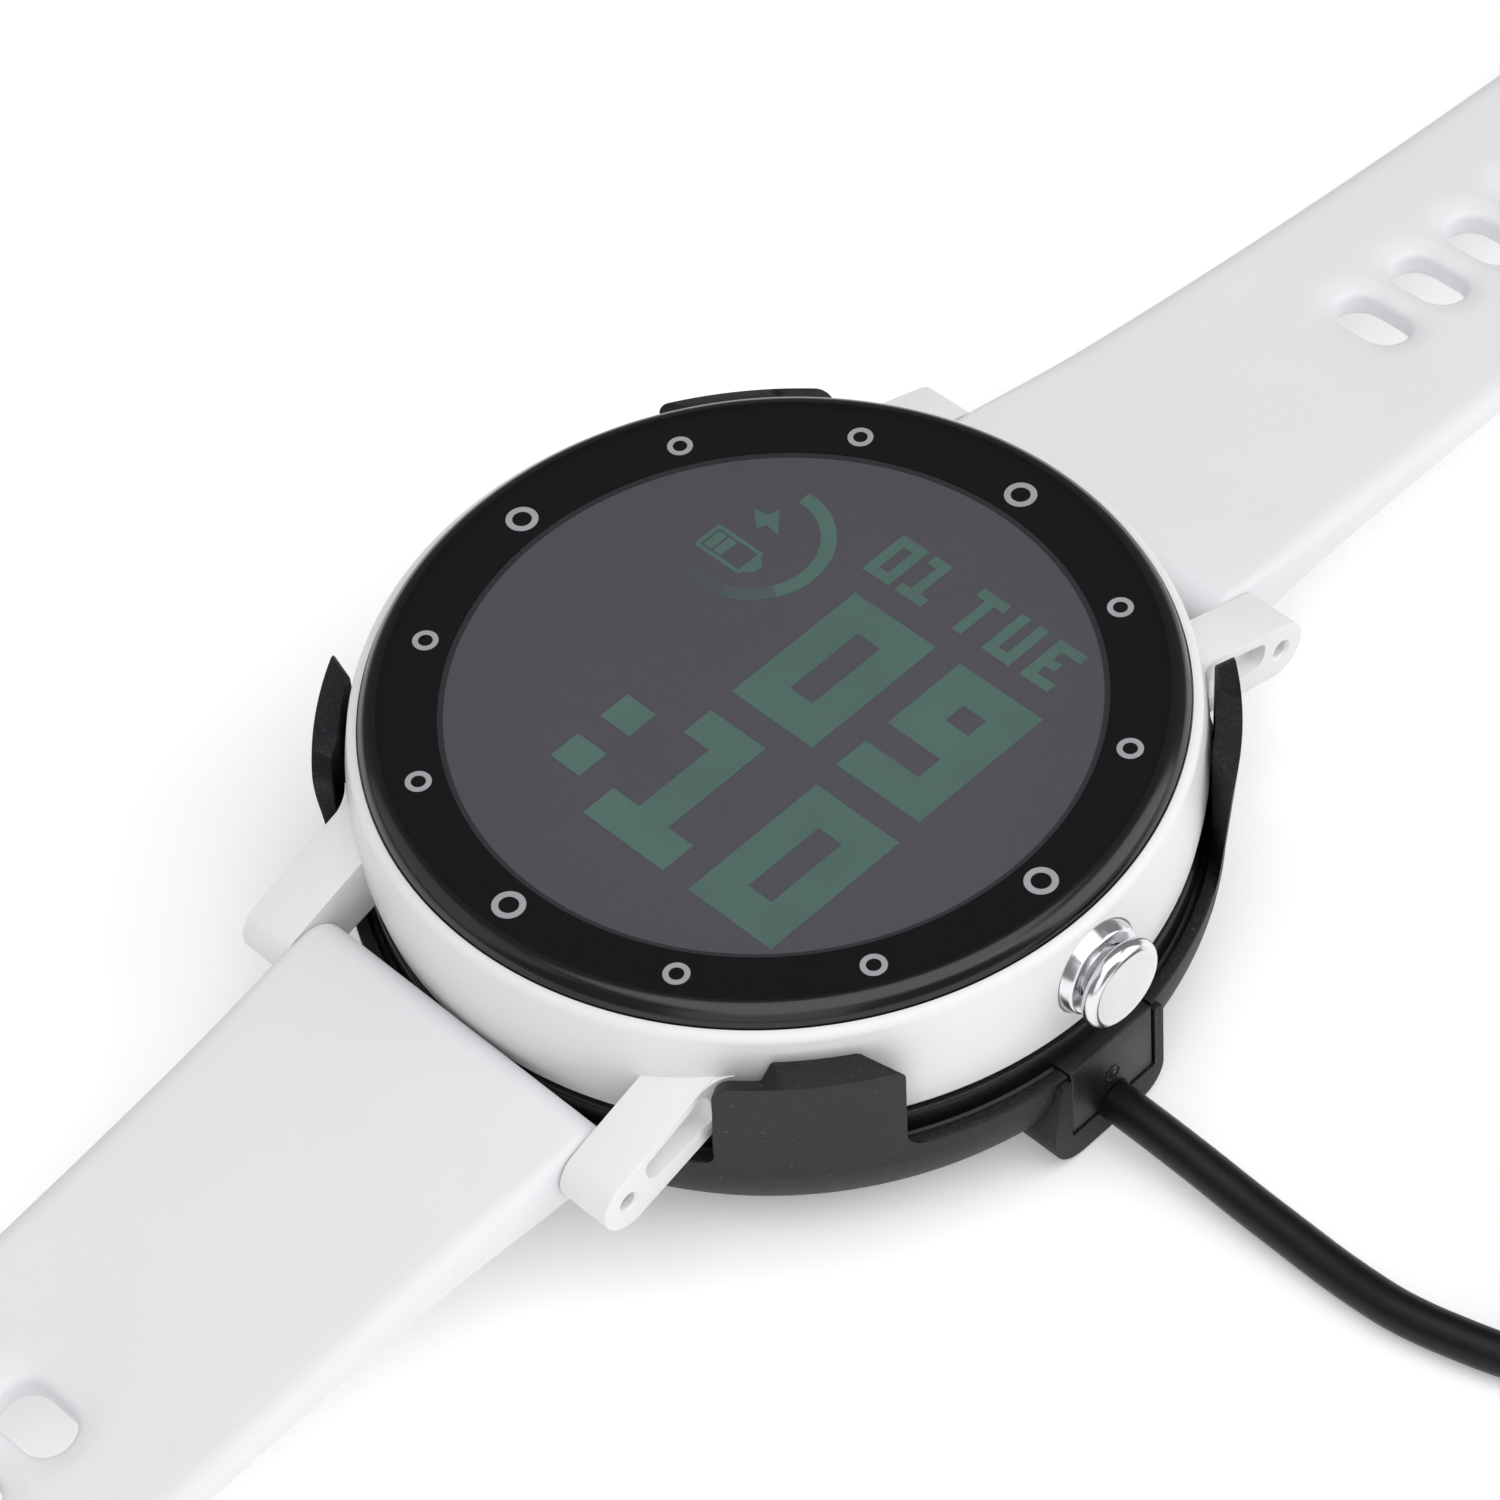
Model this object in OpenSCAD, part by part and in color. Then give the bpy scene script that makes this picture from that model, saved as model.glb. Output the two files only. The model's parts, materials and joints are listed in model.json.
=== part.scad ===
// Golf GPS watch seated in its clip-on charging cradle.
// Origin: centre of the cradle's flat base. +X to 3 o'clock, +Y to 12 o'clock, +Z up. Millimetres.

/* [Watch case] */
// Radius of the case at its widest
case_r = 22.3; // [22.1:0.1:22.4]
// Height of the case's bottom face above the floor
case_z = 8.0; // [7.95:0.05:8.1]
// Height of the white rim round the lens
rim_z = 15.4; // [15.3:0.05:15.5]
// Height of the lens's top face
lens_top = 16.4; // [16.3:0.05:16.8]
// Radius of the lens
lens_r = 21.33; // [21.2:0.01:21.36]
// Radius of the display panel
display_r = 18.0; // [17.4:0.1:18.1]

/* [Lugs and straps] */
// Width between the lugs
lug_gap = 20.3; // [20.2:0.1:20.6]
// Thickness of one lug
lug_t = 3.19; // [2.8:0.01:3.2]
// Distance of a spring bar's axis from the case's axis
bar_y = 24.1; // [24.0:0.1:24.5]
// Height of the spring bars' axes
bar_z = 8.8; // [8.7:0.05:8.9]
// Thickness of a strap away from the lugs
strap_t = 2.1; // [1.8:0.1:2.4]
// Width of a strap at its far end
strap_w = 18.0; // [16:0.5:18.5]
// Distance between neighbouring strap slots
slot_pitch = 4.9; // [4.6:0.1:5.4]
// Number of slots in the 12 o'clock strap
slots_12 = 7; // [4:1:7]
// Number of slots in the 6 o'clock strap
slots_6 = 16; // [8:1:16]

/* [Button] */
// Radius of the button's head
head_r = 2.55; // [2.3:0.05:2.6]
// How far the button's face stands from the case's axis
head_x = 24.24; // [24.1:0.02:24.4]
// How far the button can be pressed
press = 0.5; // [0.3:0.05:0.5]

/* [Cradle] */
// Outer radius of the cradle's rim
cradle_r = 23.1; // [23:0.05:23.3]
// Height of the cradle's rim
cradle_rim_z = 6.8; // [6.7:0.05:6.9]
// Radius of the cradle's rounded bottom edge
base_round = 6.2; // [4:0.1:6.4]
// Angle at which a clip arm starts, from the 3 o'clock line
arm_start = 30; // [28:1:34]

/* [Cable] */
// Diameter of the charging cable
cord_d = 2.2; // [1.8:0.1:2.2]
// Mean radius of the coil's turns
coil_r = 12.1; // [12.1:0.1:12.4]

/* [Hidden] */
$fn = 64;
eps = 0.01;

// Case, from the back cover up to the lens
flank_r = 14;
flank_z = 11.8;
flank_angle = 12.5;
wall_r = 19.8;
flange_r = 15.2;
flange_top = 9.2;
ledge_r = display_r + 0.15;
ledge_z = [14.4, 15.15];
lens_z = 15.3;
boss_xy = 12.8;
boss_top = 12.0;
cover_z = 4.6;
cover_r = 20.4;
cover_top = case_z - 0.05;
cover_floor = 6.0;
seal_r = 16.2;
pcb_z = 11.2;
pcb_t = 0.8;

// Lugs and spring bars
lug_in = lug_gap / 2;
lug_out = lug_in + lug_t;
bar_r = 0.75;
bar_half = 9.6;
tip_r = 0.45;
tip_end = 11.3;
fit = 0.05;

// Button, along +X at 3 o'clock
button_z = 12.05;
stem_r = 0.9;
sleeve_r = 1.9;
neck_r = 1.5;
collar_x = [20.4, 21.9, 22.75];
head_t = 0.94;
stem_end = 17.5;

// Straps: Bezier control points of the top line, as [distance from the case's axis, height]
top_12 = [[24.1, 10.75], [44, 7.4], [72, 5.6], [104, 4.0]];
top_6 = [[24.1, 10.75], [50, 6.6], [90, 3.0], [128, 2.1]];
strap_steps = 20;
barrel_r = 1.95;
slot_l = 4.7;
slot_w = 3.0;
first_slot_12 = 47.3;
first_slot_6 = 51.3;
strap_6_end = 139;

// Buckle, hinged on a bar in the 12 o'clock strap's far end
buckle_y = 104;
buckle_z = 2.0;
buckle_bar_r = 0.75;
frame_rod_r = 1.2;
frame_len = 12;
frame_half = 11.6;
frame_in = 9.5;
frame_tilt = asin((buckle_z - frame_rod_r) / frame_len);
keeper_fixed_y = 94;
far_slope = 0.054;
keeper_free_y = 84.5;

// Cradle
bore_r = 22.4;
insert_seat_z = 4.6;
insert_top = 7.9;
insert_lip_r = 22.0;
dish_r = 20.75;
dish_z = 4.3;
block_x = 22.95;
boss_x = 23.2;
block_half = 3.0;
boss_half = 3.75;
boss_top_z = 6.45;
boss_foot_far = 4.44;
boss_foot_z = 0.15;
exit_z = 2.1;
arm_gap_x = lug_out + 0.5;
arm_step = 46.5;
screw_ring = 13;
pogo_x = 9;
pogo_pitch = 2.6;
cradle_pcb_z = 1.6;

// Cable: route of the stretch from the cradle to the coil, and from the coil to the plug
cord_r = cord_d / 2;
lie = cord_r + 0.05;
lead_in = [
    [23.2, 0, 2.1], [26, 0, 2.0], [29, 0, 1.8], [32, 0, 1.5], [35, 0, 1.3], [38, 0, lie],
    [41, 0.1, lie], [43, 0.4, lie], [45, 0.9, lie], [47, 1.5, lie], [50, 2.6, lie], [53, 3.7, lie],
    [56, 4.8, lie], [59, 5.9, lie], [62, 7.0, lie], [64.5, 7.9, lie], [65.9, 8.5, lie]
];
lead_out = [
    [75.4, 22, 7.9], [75.5, 25, 7.8], [75.5, 28, 7.5], [75.5, 31, 7.0], [75.5, 34, 6.4],
    [75.5, 37, 5.7], [75.5, 40, 5.1], [75.5, 43, 4.6], [75.5, 46, 4.2], [75.5, 48, 4.05],
    [75.5, 50, 4.0]
];
coil_at = [61, 22];
coil_cols = 3;
coil_rows = 4;
plug_at = [75.5, 50, 4.0];

// Points of an arc about c with radius r, from angle a to angle b in n steps
function arc(c, r, a, b, n = 8) =
    [for (i = [0:n]) c + r * [cos(a + (b - a) * i / n), sin(a + (b - a) * i / n)]];

// Outline of a rectangle w by h about the origin with corners of radius r
function round_rect(w, h, r) = concat(
    arc([w / 2 - r, h / 2 - r], r, 0, 90), arc([r - w / 2, h / 2 - r], r, 90, 180),
    arc([r - w / 2, r - h / 2], r, 180, 270), arc([w / 2 - r, r - h / 2], r, 270, 360));

// Point of a cubic Bezier with control points p at t
function bezier(p, t) =
    pow(1 - t, 3) * p[0] + 3 * pow(1 - t, 2) * t * p[1] + 3 * (1 - t) * t * t * p[2] + pow(t, 3) * p[3];

// Strap thickness and half width at distance y from the case's axis
function thick(y) = strap_t + (2 * barrel_r - strap_t) * pow(max(0, 1 - (y - bar_y) / 24), 2);
function half_w(y) = strap_w / 2 + (9.9 - strap_w / 2) * pow(min(1, max(0, 1 - (y - 26) / 44)), 1.5);

// Unit direction of a path at point i
function along(path, i) =
    let (a = path[max(i - 1, 0)], b = path[min(i + 1, len(path) - 1)]) (b - a) / norm(b - a);

// Ring of points of radius r round a path's point, square to the direction d
function section(c, d, r, sides) =
    let (u = cross(d, abs(d[2]) < 0.9 ? [0, 0, 1] : [1, 0, 0]), a = u / norm(u), b = cross(d, a))
    [for (k = [0:sides - 1]) c + r * (cos((k + 0.5) * 360 / sides) * a + sin((k + 0.5) * 360 / sides) * b)];

// Round tube swept along a path
module sweep(path, r, sides = 8) {
    n = len(path);
    points = [for (i = [0:n - 1]) each section(path[i], along(path, i), r, sides)];
    skin = [for (i = [0:n - 2], k = [0:sides - 1]) each [
        [i * sides + k, (i + 1) * sides + k, i * sides + (k + 1) % sides],
        [i * sides + (k + 1) % sides, (i + 1) * sides + k, (i + 1) * sides + (k + 1) % sides]]];
    start = [[for (k = [0:sides - 1]) k]];
    end = [[for (k = [sides - 1:-1:0]) (n - 1) * sides + k]];
    polyhedron(points, concat(start, skin, end), convexity = 6);
}

// Solid of revolution about Z from a list of [radius, height] points
module turned(points) {
    rotate_extrude(convexity = 6) polygon(points);
}

// Ring about Z between two radii and two heights
module ring(r_in, r_out, z0, z1) {
    turned([[r_in, z0], [r_out, z0], [r_out, z1], [r_in, z1]]);
}

// Solid of revolution about an X axis at height z; points are [radius, x]
module turned_x(points, z) {
    translate([0, 0, z]) rotate([0, 90, 0]) rotate_extrude(convexity = 6) polygon(points);
}

// Cylinder along +X from x0 to x1 at [y, z]
module rod_x(r, x0, x1, y, z) {
    translate([x0, y, z]) rotate([0, 90, 0]) cylinder(h = x1 - x0, r = r);
}

// Outline in the YZ plane, extruded from x0 to x1
module slab_x(points, x0, x1) {
    translate([x0, 0, 0]) rotate([90, 0, 90]) linear_extrude(x1 - x0, convexity = 4) polygon(points);
}

// The children and their mirror image at the 6 o'clock side
module both_sides_y() {
    children();
    mirror([0, 1, 0]) children();
}

// The children in all four quadrants
module quadrants() {
    for (sx = [-1, 1], sy = [-1, 1]) scale([sx, sy, 1]) children();
}

// Helical spring along +X from x0 to x1 about [y, z]
module spring_x(x0, x1, y, z, r, wire_r, turns) {
    steps = 12 * turns;
    path = [for (i = [0:steps])
        [x0 + wire_r + (x1 - x0 - 2 * wire_r) * i / steps, y + r * cos(30 * i), z + r * sin(30 * i)]];
    sweep(path, wire_r, 6);
}

/* ---- Watch case ---- */

// Side outline of one lug at the 12 o'clock side, as [y, z]
function lug_outline() = concat(
    [[16, 13.3], [17.5, 12.9]], arc([24.05, bar_z], 1.7, 72, -102, 12), [[17.5, 8.9], [16, 9.2]]);

// Shallow pocket in a lug's outer face
function pocket_outline() =
    concat(arc([22.1, 9.65], 0.75, 70, -100, 6), [[18.4, 9.6], [18.0, 12.0], [18.4, 12.1]]);

module lug() {
    difference() {
        slab_x(lug_outline(), lug_in, lug_out);
        slab_x(pocket_outline(), lug_out - 0.9, lug_out + 1);
        rod_x(tip_r + fit, lug_in - 1, lug_out + 1, bar_y, bar_z);
    }
}

module case_ring() {
    turned(concat(
        [[flange_r, case_z]],
        arc([case_r - 1.1, case_z + 0.77], 0.77, -90, 0, 6),
        arc([case_r - flank_r, flank_z], flank_r, -flank_angle, flank_angle, 10),
        arc([case_r - 0.9, rim_z - 0.57], 0.57, 0, 90, 5),
        [[lens_r + 0.07, rim_z], [lens_r + 0.07, ledge_z[1]], [ledge_r, ledge_z[1]],
         [ledge_r, ledge_z[0]], [wall_r, ledge_z[0]], [wall_r, flange_top], [flange_r, flange_top]]));
}

module screw_boss() {
    difference() {
        translate([boss_xy, boss_xy, flange_top - 0.5]) cylinder(h = boss_top - flange_top + 0.5, r = 1.8);
        translate([boss_xy, boss_xy, case_z - 1]) cylinder(h = 6, r = 0.65);
    }
}

module case_body() {
    color("whitesmoke") difference() {
        union() {
            case_ring();
            difference() {
                union() for (sx = [0, 1]) mirror([sx, 0, 0]) both_sides_y() lug();
                translate([0, 0, case_z - 2]) cylinder(h = 12, r = wall_r + 0.5);
            }
            quadrants() screw_boss();
        }
        quadrants() translate([boss_xy, boss_xy, case_z - 1]) cylinder(h = 4, r = 0.65);
        rod_x(1.55, wall_r - 1, collar_x[0], 0, button_z);
        rod_x(sleeve_r + 0.02, collar_x[0] - eps, collar_x[1], 0, button_z);
        rod_x(2.75, collar_x[1] - eps, 24, 0, button_z);
    }
}

module lens() {
    color("black", 0.6) turned(concat(
        [[0, lens_z], [21.0, lens_z]],
        arc([lens_r - 1.1, lens_z], 1.1, 14, 90, 8),
        [[0, lens_top]]));
}

module lens_gasket() {
    color("black") ring(display_r + 0.3, lens_r - 0.2, ledge_z[1], lens_z);
}

module display_panel() {
    color("dimgray") translate([0, 0, 14.15]) cylinder(h = lens_z - 14.17, r = display_r);
}

module backlight() {
    color("white") translate([0, 0, 13.35]) cylinder(h = 0.8, r = display_r);
}

module display_frame() {
    color("darkslategray") difference() {
        turned([[16.4, boss_top + fit], [19.65, boss_top + fit], [19.65, 14.35], [display_r + 0.1, 14.35],
                [display_r + 0.1, 13.3], [16.4, 13.3]]);
        translate([14, -2.6, boss_top - 1]) cube([8, 5.2, 4]);
    }
}

module main_pcb() {
    color("darkgreen") translate([0, 0, pcb_z]) cylinder(h = pcb_t, r = 15.9);
}

module rf_shield() {
    color("silver") translate([-9, -8, pcb_z + pcb_t]) cube([18, 14, 1.2]);
}

module gps_antenna() {
    color("burlywood") translate([-8, 4.5, pcb_z - 4]) cube([7.6, 7.6, 4]);
}

module battery() {
    color("slategray") translate([0, -2.75, 6.2])
        linear_extrude(4.4) polygon(round_rect(22, 13.5, 0.8));
}

module vibration_motor() {
    color("silver") translate([5.3, 8.8, 6.2]) cylinder(h = 2.7, r = 4);
}

module side_switch() {
    color("gold") {
        translate([13.2, -2.2, pcb_z + pcb_t]) cube([3, 4.4, 1.25]);
        rod_x(0.5, 16.1, stem_end - press - 0.02, 0, 12.6);
    }
}

module back_cover() {
    color("dimgray") difference() {
        turned(concat(
            [[0, cover_z], [18.4, cover_z]],
            arc([cover_r - 2, cover_z + 2], 2, -90, 0, 6),
            [[cover_r, cover_top], [seal_r + 0.4, cover_top], [seal_r + 0.4, cover_top - 0.5],
             [seal_r - 0.4, cover_top - 0.5], [seal_r - 0.4, cover_top], [flange_r - fit, cover_top],
             [flange_r - fit, 8.9], [14.8, 8.9], [14.8, cover_floor], [0, cover_floor]]));
        quadrants() translate([boss_xy, boss_xy, cover_z - 1]) {
            cylinder(h = 6, r = 0.65);
            cylinder(h = 1.9, r = 1.05);
        }
        for (i = [0:3]) translate([pogo_x, contact_y(i), cover_z - 1]) cylinder(h = 4, r = 0.95);
    }
}

// Position of contact i along Y, shared by the watch and the cradle
function contact_y(i) = (i - 1.5) * pogo_pitch;

module back_gasket() {
    color("black") rotate_extrude() translate([seal_r, cover_top - 0.23]) circle(r = 0.27);
}

module charge_contacts() {
    color("gold") for (i = [0:3])
        translate([pogo_x, contact_y(i), cover_z]) cylinder(h = 1.5, r = 0.95);
}

module back_screws() {
    color("silver") quadrants() translate([boss_xy, boss_xy, cover_z + 0.2]) {
        cylinder(h = 0.7, r = 1.0);
        cylinder(h = 5.6, r = 0.6);
    }
}

/* ---- Button ---- */

module button_collar() {
    color("silver") turned_x([
        [stem_r + fit, collar_x[0]], [sleeve_r, collar_x[0]], [sleeve_r, collar_x[1]],
        [2.7, collar_x[1]], [2.7, collar_x[2] - 0.2], [2.5, collar_x[2]], [neck_r + fit, collar_x[2]],
        [neck_r + fit, collar_x[0] + 0.5], [stem_r + fit, collar_x[0] + 0.5]], button_z);
}

module button_pusher() {
    color("lightgray") turned_x([
        [0, stem_end], [stem_r, stem_end], [stem_r, head_x - head_t - 0.95],
        [neck_r, head_x - head_t - 0.95], [neck_r, head_x - head_t],
        [head_r - 0.15, head_x - head_t], [head_r, head_x - head_t + 0.15],
        [head_r, head_x - 0.3], [head_r - 0.1, head_x - 0.1], [head_r - 0.3, head_x], [0, head_x]],
        button_z);
}

module button_seal() {
    color("black") translate([20.0, 0, button_z]) rotate([0, 90, 0])
        rotate_extrude() translate([1.21, 0]) circle(r = 0.28);
}

module button_clip() {
    color("silver") turned_x([[stem_r + eps, 19.3], [sleeve_r, 19.3], [sleeve_r, 19.7], [stem_r + eps, 19.7]],
        button_z);
}

module button_spring() {
    color("silver")
        spring_x(collar_x[0] + 0.52, head_x - head_t - 0.97, 0, button_z, 1.22, 0.12, 3);
}

/* ---- Spring bars ---- */

// Tube of one spring bar at the 12 o'clock side, crimped at both ends
module bar_tube() {
    difference() {
        rod_x(bar_r, -bar_half, bar_half, bar_y, bar_z);
        rod_x(tip_r + 0.12, 0.4 - bar_half, bar_half - 0.4, bar_y, bar_z);
        rod_x(tip_r + fit, -bar_half - 1, bar_half + 1, bar_y, bar_z);
    }
}

// Right-hand tip of the 12 o'clock spring bar
module bar_tip() {
    rod_x(tip_r, 9.0, tip_end - 0.1, bar_y, bar_z);
    rod_x(tip_r - 0.1, tip_end - 0.1 - eps, tip_end, bar_y, bar_z);
    rod_x(tip_r + 0.07, 5.5, 9.0, bar_y, bar_z);
}

module bar_coil() {
    spring_x(-5.45, 5.45, bar_y, bar_z, 0.42, 0.08, 12);
}

module spring_bar_12() { color("silver") bar_tube(); }
module spring_bar_6() { color("silver") mirror([0, 1, 0]) bar_tube(); }
module bar_spring_12() { color("gray") bar_coil(); }
module bar_spring_6() { color("gray") mirror([0, 1, 0]) bar_coil(); }
module bar_tip_12_right() { color("silver") bar_tip(); }
module bar_tip_12_left() { color("silver") mirror([1, 0, 0]) bar_tip(); }
module bar_tip_6_right() { color("silver") mirror([0, 1, 0]) bar_tip(); }
module bar_tip_6_left() { color("silver") mirror([1, 0, 0]) mirror([0, 1, 0]) bar_tip(); }

/* ---- Straps ---- */

// Side outline of a strap as [y, z]: the top line out, the underside back
function strap_side(top) = let (line = [for (i = [1:strap_steps]) bezier(top, i / strap_steps)])
    concat([bezier(top, 0)], line,
        [for (i = [strap_steps - 1:-1:0]) line[i] - [0, thick(line[i][0])]],
        [[bar_y, bar_z - barrel_r]]);

// Plan outline of a strap as [x, y], from y0 to y1, with its width tapering
function strap_plan(y0, y1) = let (n = 16, ys = [for (i = [0:n]) y0 + (y1 - y0) * i / n])
    concat([for (y = ys) [half_w(y), y]], [for (i = [n:-1:0]) [-half_w(ys[i]), ys[i]]]);

// Barrel of a strap round its spring bar
module strap_barrel() {
    rod_x(barrel_r, -9.9, 9.9, bar_y, bar_z);
}

// Crosswise slots with round ends, the first at y0
module slots(y0, count) {
    for (i = [0:count - 1]) translate([0, y0 + i * slot_pitch, -1]) {
        for (s = [-1, 1]) translate([s * (slot_l - slot_w) / 2, 0, 0]) cylinder(h = 14, r = slot_w / 2);
        translate([(slot_w - slot_l) / 2, -slot_w / 2, 0]) cube([slot_l - slot_w, slot_w, 14]);
    }
}

module strap_12() {
    color("gainsboro") difference() {
        union() {
            intersection() {
                slab_x(strap_side(top_12), -10, 10);
                linear_extrude(20) polygon(strap_plan(bar_y, buckle_y));
            }
            strap_barrel();
            rod_x(buckle_z, -strap_w / 2, strap_w / 2, buckle_y, buckle_z);
        }
        rod_x(bar_r + fit, -11, 11, bar_y, bar_z);
        rod_x(buckle_bar_r + fit, -11, 11, buckle_y, buckle_z);
        translate([-2.2, buckle_y - 4, -1]) cube([4.4, 8, 8]);
        slots(first_slot_12, slots_12);
    }
}

// Flat far end of the 6 o'clock strap, with a rounded tip
function tip_plan() = let (r = strap_w / 2)
    concat([[-r, 127]], [[-r, strap_6_end - 8]], [for (a = [170:-10:10]) [r * cos(a), strap_6_end - 8 + 8 * sin(a)]],
        [[r, strap_6_end - 8], [r, 127]]);

module strap_6() {
    color("gainsboro") mirror([0, 1, 0]) difference() {
        union() {
            intersection() {
                slab_x(strap_side(top_6), -10, 10);
                linear_extrude(20) polygon(strap_plan(bar_y, 128));
            }
            linear_extrude(strap_t) polygon(tip_plan());
            strap_barrel();
        }
        rod_x(bar_r + fit, -11, 11, bar_y, bar_z);
        slots(first_slot_6, slots_6);
    }
}

/* ---- Buckle and keepers ---- */

// Frame and tongue are drawn level, then tilted about the buckle bar until the frame meets the floor
module at_buckle() {
    translate([0, buckle_y, buckle_z]) rotate([-frame_tilt, 0, 0]) children();
}

module buckle_frame() {
    color("silver") at_buckle() difference() {
        union() {
            rod_x(frame_rod_r, -frame_half, frame_half, frame_len, 0);
            for (s = [-1, 1]) {
                translate([s * (frame_half + frame_in) / 2, frame_len / 2, 0])
                    cube([frame_half - frame_in, frame_len, 2 * frame_rod_r], center = true);
                rod_x(1.7, s > 0 ? frame_in : -frame_half, s > 0 ? frame_half : -frame_in, 0, 0);
            }
        }
        rod_x(buckle_bar_r + fit, -frame_half - 1, frame_half + 1, 0, 0);
    }
}

module buckle_tongue() {
    color("lightgray") at_buckle() difference() {
        union() {
            rod_x(1.5, -1.9, 1.9, 0, 0);
            slab_x([[0, 0.4], [0, 1.5], [1.2, 2.0], [11.5, 2.35], [12.9, 2.15], [12.9, 1.75], [11.6, 1.32],
                    [2.2, 0.7]], -1.9, 1.9);
        }
        rod_x(buckle_bar_r + fit, -3, 3, 0, 0);
    }
}

module buckle_bar() {
    color("silver") rod_x(buckle_bar_r, 0.2 - frame_half, frame_half - 0.2, buckle_y, buckle_z);
}

// Height of the 12 o'clock strap's top line near its far end
function far_top(y) = 2 * buckle_z + (buckle_y - y) * far_slope;

// Loop round the 12 o'clock strap, centred at y, tall enough for the other strap's end
module keeper(y, gap) {
    w = 2 * half_w(y);
    z0 = far_top(y) - strap_t - gap;
    z1 = far_top(y) + 2.7;
    wall = 0.9;
    translate([0, y, (z0 + z1) / 2]) rotate([90 - atan(far_slope), 0, 0])
        linear_extrude(5, center = true, convexity = 4)
        difference() {
            polygon(round_rect(w + 2 * gap + 2 * wall, z1 - z0 + 2 * wall, 1.5));
            polygon(round_rect(w + 2 * gap, z1 - z0, 2 * gap));
        }
}

module keeper_fixed() { color("gainsboro") keeper(keeper_fixed_y, 0.1); }
module keeper_free() { color("gainsboro") keeper(keeper_free_y, 0.2); }

/* ---- Cradle ---- */

// Plan area of one clip arm between two directions; the last one ends beside the lug
module arm_area(a, b) {
    linear_extrude(30) polygon(b > 0
        ? [30 * [cos(a), sin(a)], 30 * [cos(b), sin(b)], 18 * [cos(b), sin(b)], 18 * [cos(a), sin(a)]]
        : [30 * [cos(a), sin(a)], [arm_gap_x, 30], [arm_gap_x, arm_gap_x * tan(a)]]);
}

// One clip arm: a thick part, and a thinner part beside the lug
module clip_arm() {
    root_z = cradle_rim_z - 0.8;
    intersection() {
        turned([[22.5, root_z], [23.2, root_z], [23.85, 13.85], [22.5, 14.3]]);
        arm_area(arm_start, arm_step);
    }
    intersection() {
        turned([[22.9, root_z], [23.2, root_z], [23.85, 13.85], [22.9, 13.4]]);
        arm_area(arm_step - 0.1, 0);
    }
}

// Outline of the block round the cable's exit; its foot reaches further out on the -Y side
function boss_outline(top_r, foot_near_r, foot_far_r, lean) = concat(
    arc([boss_half - foot_near_r, boss_foot_z + foot_near_r], foot_near_r, 270, 360),
    arc([boss_half - top_r, boss_top_z - top_r], top_r, 0, 90),
    arc([top_r - boss_half, boss_top_z - top_r], top_r, 90, 180 - lean),
    arc([foot_far_r - boss_foot_far, boss_foot_z + foot_far_r], foot_far_r, 180 - lean, 270));

module cable_boss() { slab_x(boss_outline(0.3, 1.7, 2.1, 10), 18, boss_x); }

module cradle_shell() {
    c = [cradle_r - base_round, base_round];
    color("dimgray") difference() {
        union() {
            turned(concat(
                [[0, 0]], arc(c, base_round, -90, 0, 12), [[cradle_r + 0.15, cradle_rim_z],
                [bore_r, cradle_rim_z], [bore_r, insert_seat_z], [21.4, insert_seat_z]],
                arc(c, base_round - 1.4, -22, -90, 8), [[0, 1.4]]));
            quadrants() clip_arm();
            intersection() {
                cable_boss();
                difference() {
                    cylinder(h = 20, r = 26);
                    translate([0, 0, 1.4]) cylinder(h = 20, r = 20.6);
                    translate([0, 0, insert_seat_z]) cylinder(h = 20, r = bore_r);
                }
            }
        }
        translate([18, -block_half - 0.08, exit_z - 0.05]) cube([8, 2 * block_half + 0.16, 8]);
        rod_x(cord_r + 0.1, 17, 25, 0, exit_z);
        for (a = [90, 210, 330]) rotate(a) translate([screw_ring, 0, -1]) {
            cylinder(h = 4, r = 0.9);
            cylinder(h = 1.8, r = 1.5);
        }
    }
}

module cradle_insert() {
    color("black") difference() {
        union() {
            turned(concat(
                [[0, dish_z - 1], [17.5, dish_z - 1], [20.5, insert_seat_z + fit],
                 [bore_r - fit, insert_seat_z + fit],
                 [bore_r - fit, 6.3], [insert_lip_r, 6.5], [insert_lip_r, insert_top - 0.2],
                 [insert_lip_r - 0.2, insert_top], [dish_r, insert_top]],
                arc([dish_r - 2.3, dish_z + 2.3], 2.3, 0, -90, 6), [[0, dish_z]]));
            translate([18.8, -block_half, exit_z]) cube([block_x - 18.8, 2 * block_half, dish_z - exit_z]);
            translate([dish_r + 0.15, -block_half, exit_z])
                cube([block_x - dish_r - 0.15, 2 * block_half, cradle_rim_z - exit_z]);
            for (a = [90, 210, 330]) rotate(a) translate([screw_ring, 0, 1.45])
                cylinder(h = dish_z - 1.45 - 0.5, r = 1.7);
        }
        translate([0, 0, dish_z]) cylinder(h = 9, r = 18.4);
        rod_x(cord_r + 0.1, 17, 25, 0, exit_z);
        for (a = [90, 210, 330]) rotate(a) translate([screw_ring, 0, 0]) cylinder(h = 3.4, r = 0.75);
        for (i = [0:3]) translate([pogo_x, contact_y(i), 0]) cylinder(h = 9, r = 0.75);
    }
}

module cradle_pcb() {
    color("darkgreen") translate([3, -4.6, cradle_pcb_z]) cube([12.5, 9.2, 0.8]);
}

module cradle_screws() {
    color("silver") for (a = [90, 210, 330]) rotate(a) translate([screw_ring, 0, 0.1]) {
        cylinder(h = 0.6, r = 1.4);
        cylinder(h = 3.1, r = 0.7);
    }
}

module pogo_barrels() {
    color("gold") for (i = [0:3]) translate([pogo_x, contact_y(i), 0]) difference() {
        translate([0, 0, cradle_pcb_z + 0.8]) cylinder(h = dish_z - cradle_pcb_z - 0.85, r = 0.7);
        translate([0, 0, cradle_pcb_z + 0.95]) cylinder(h = 5, r = 0.5);
    }
}

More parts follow.
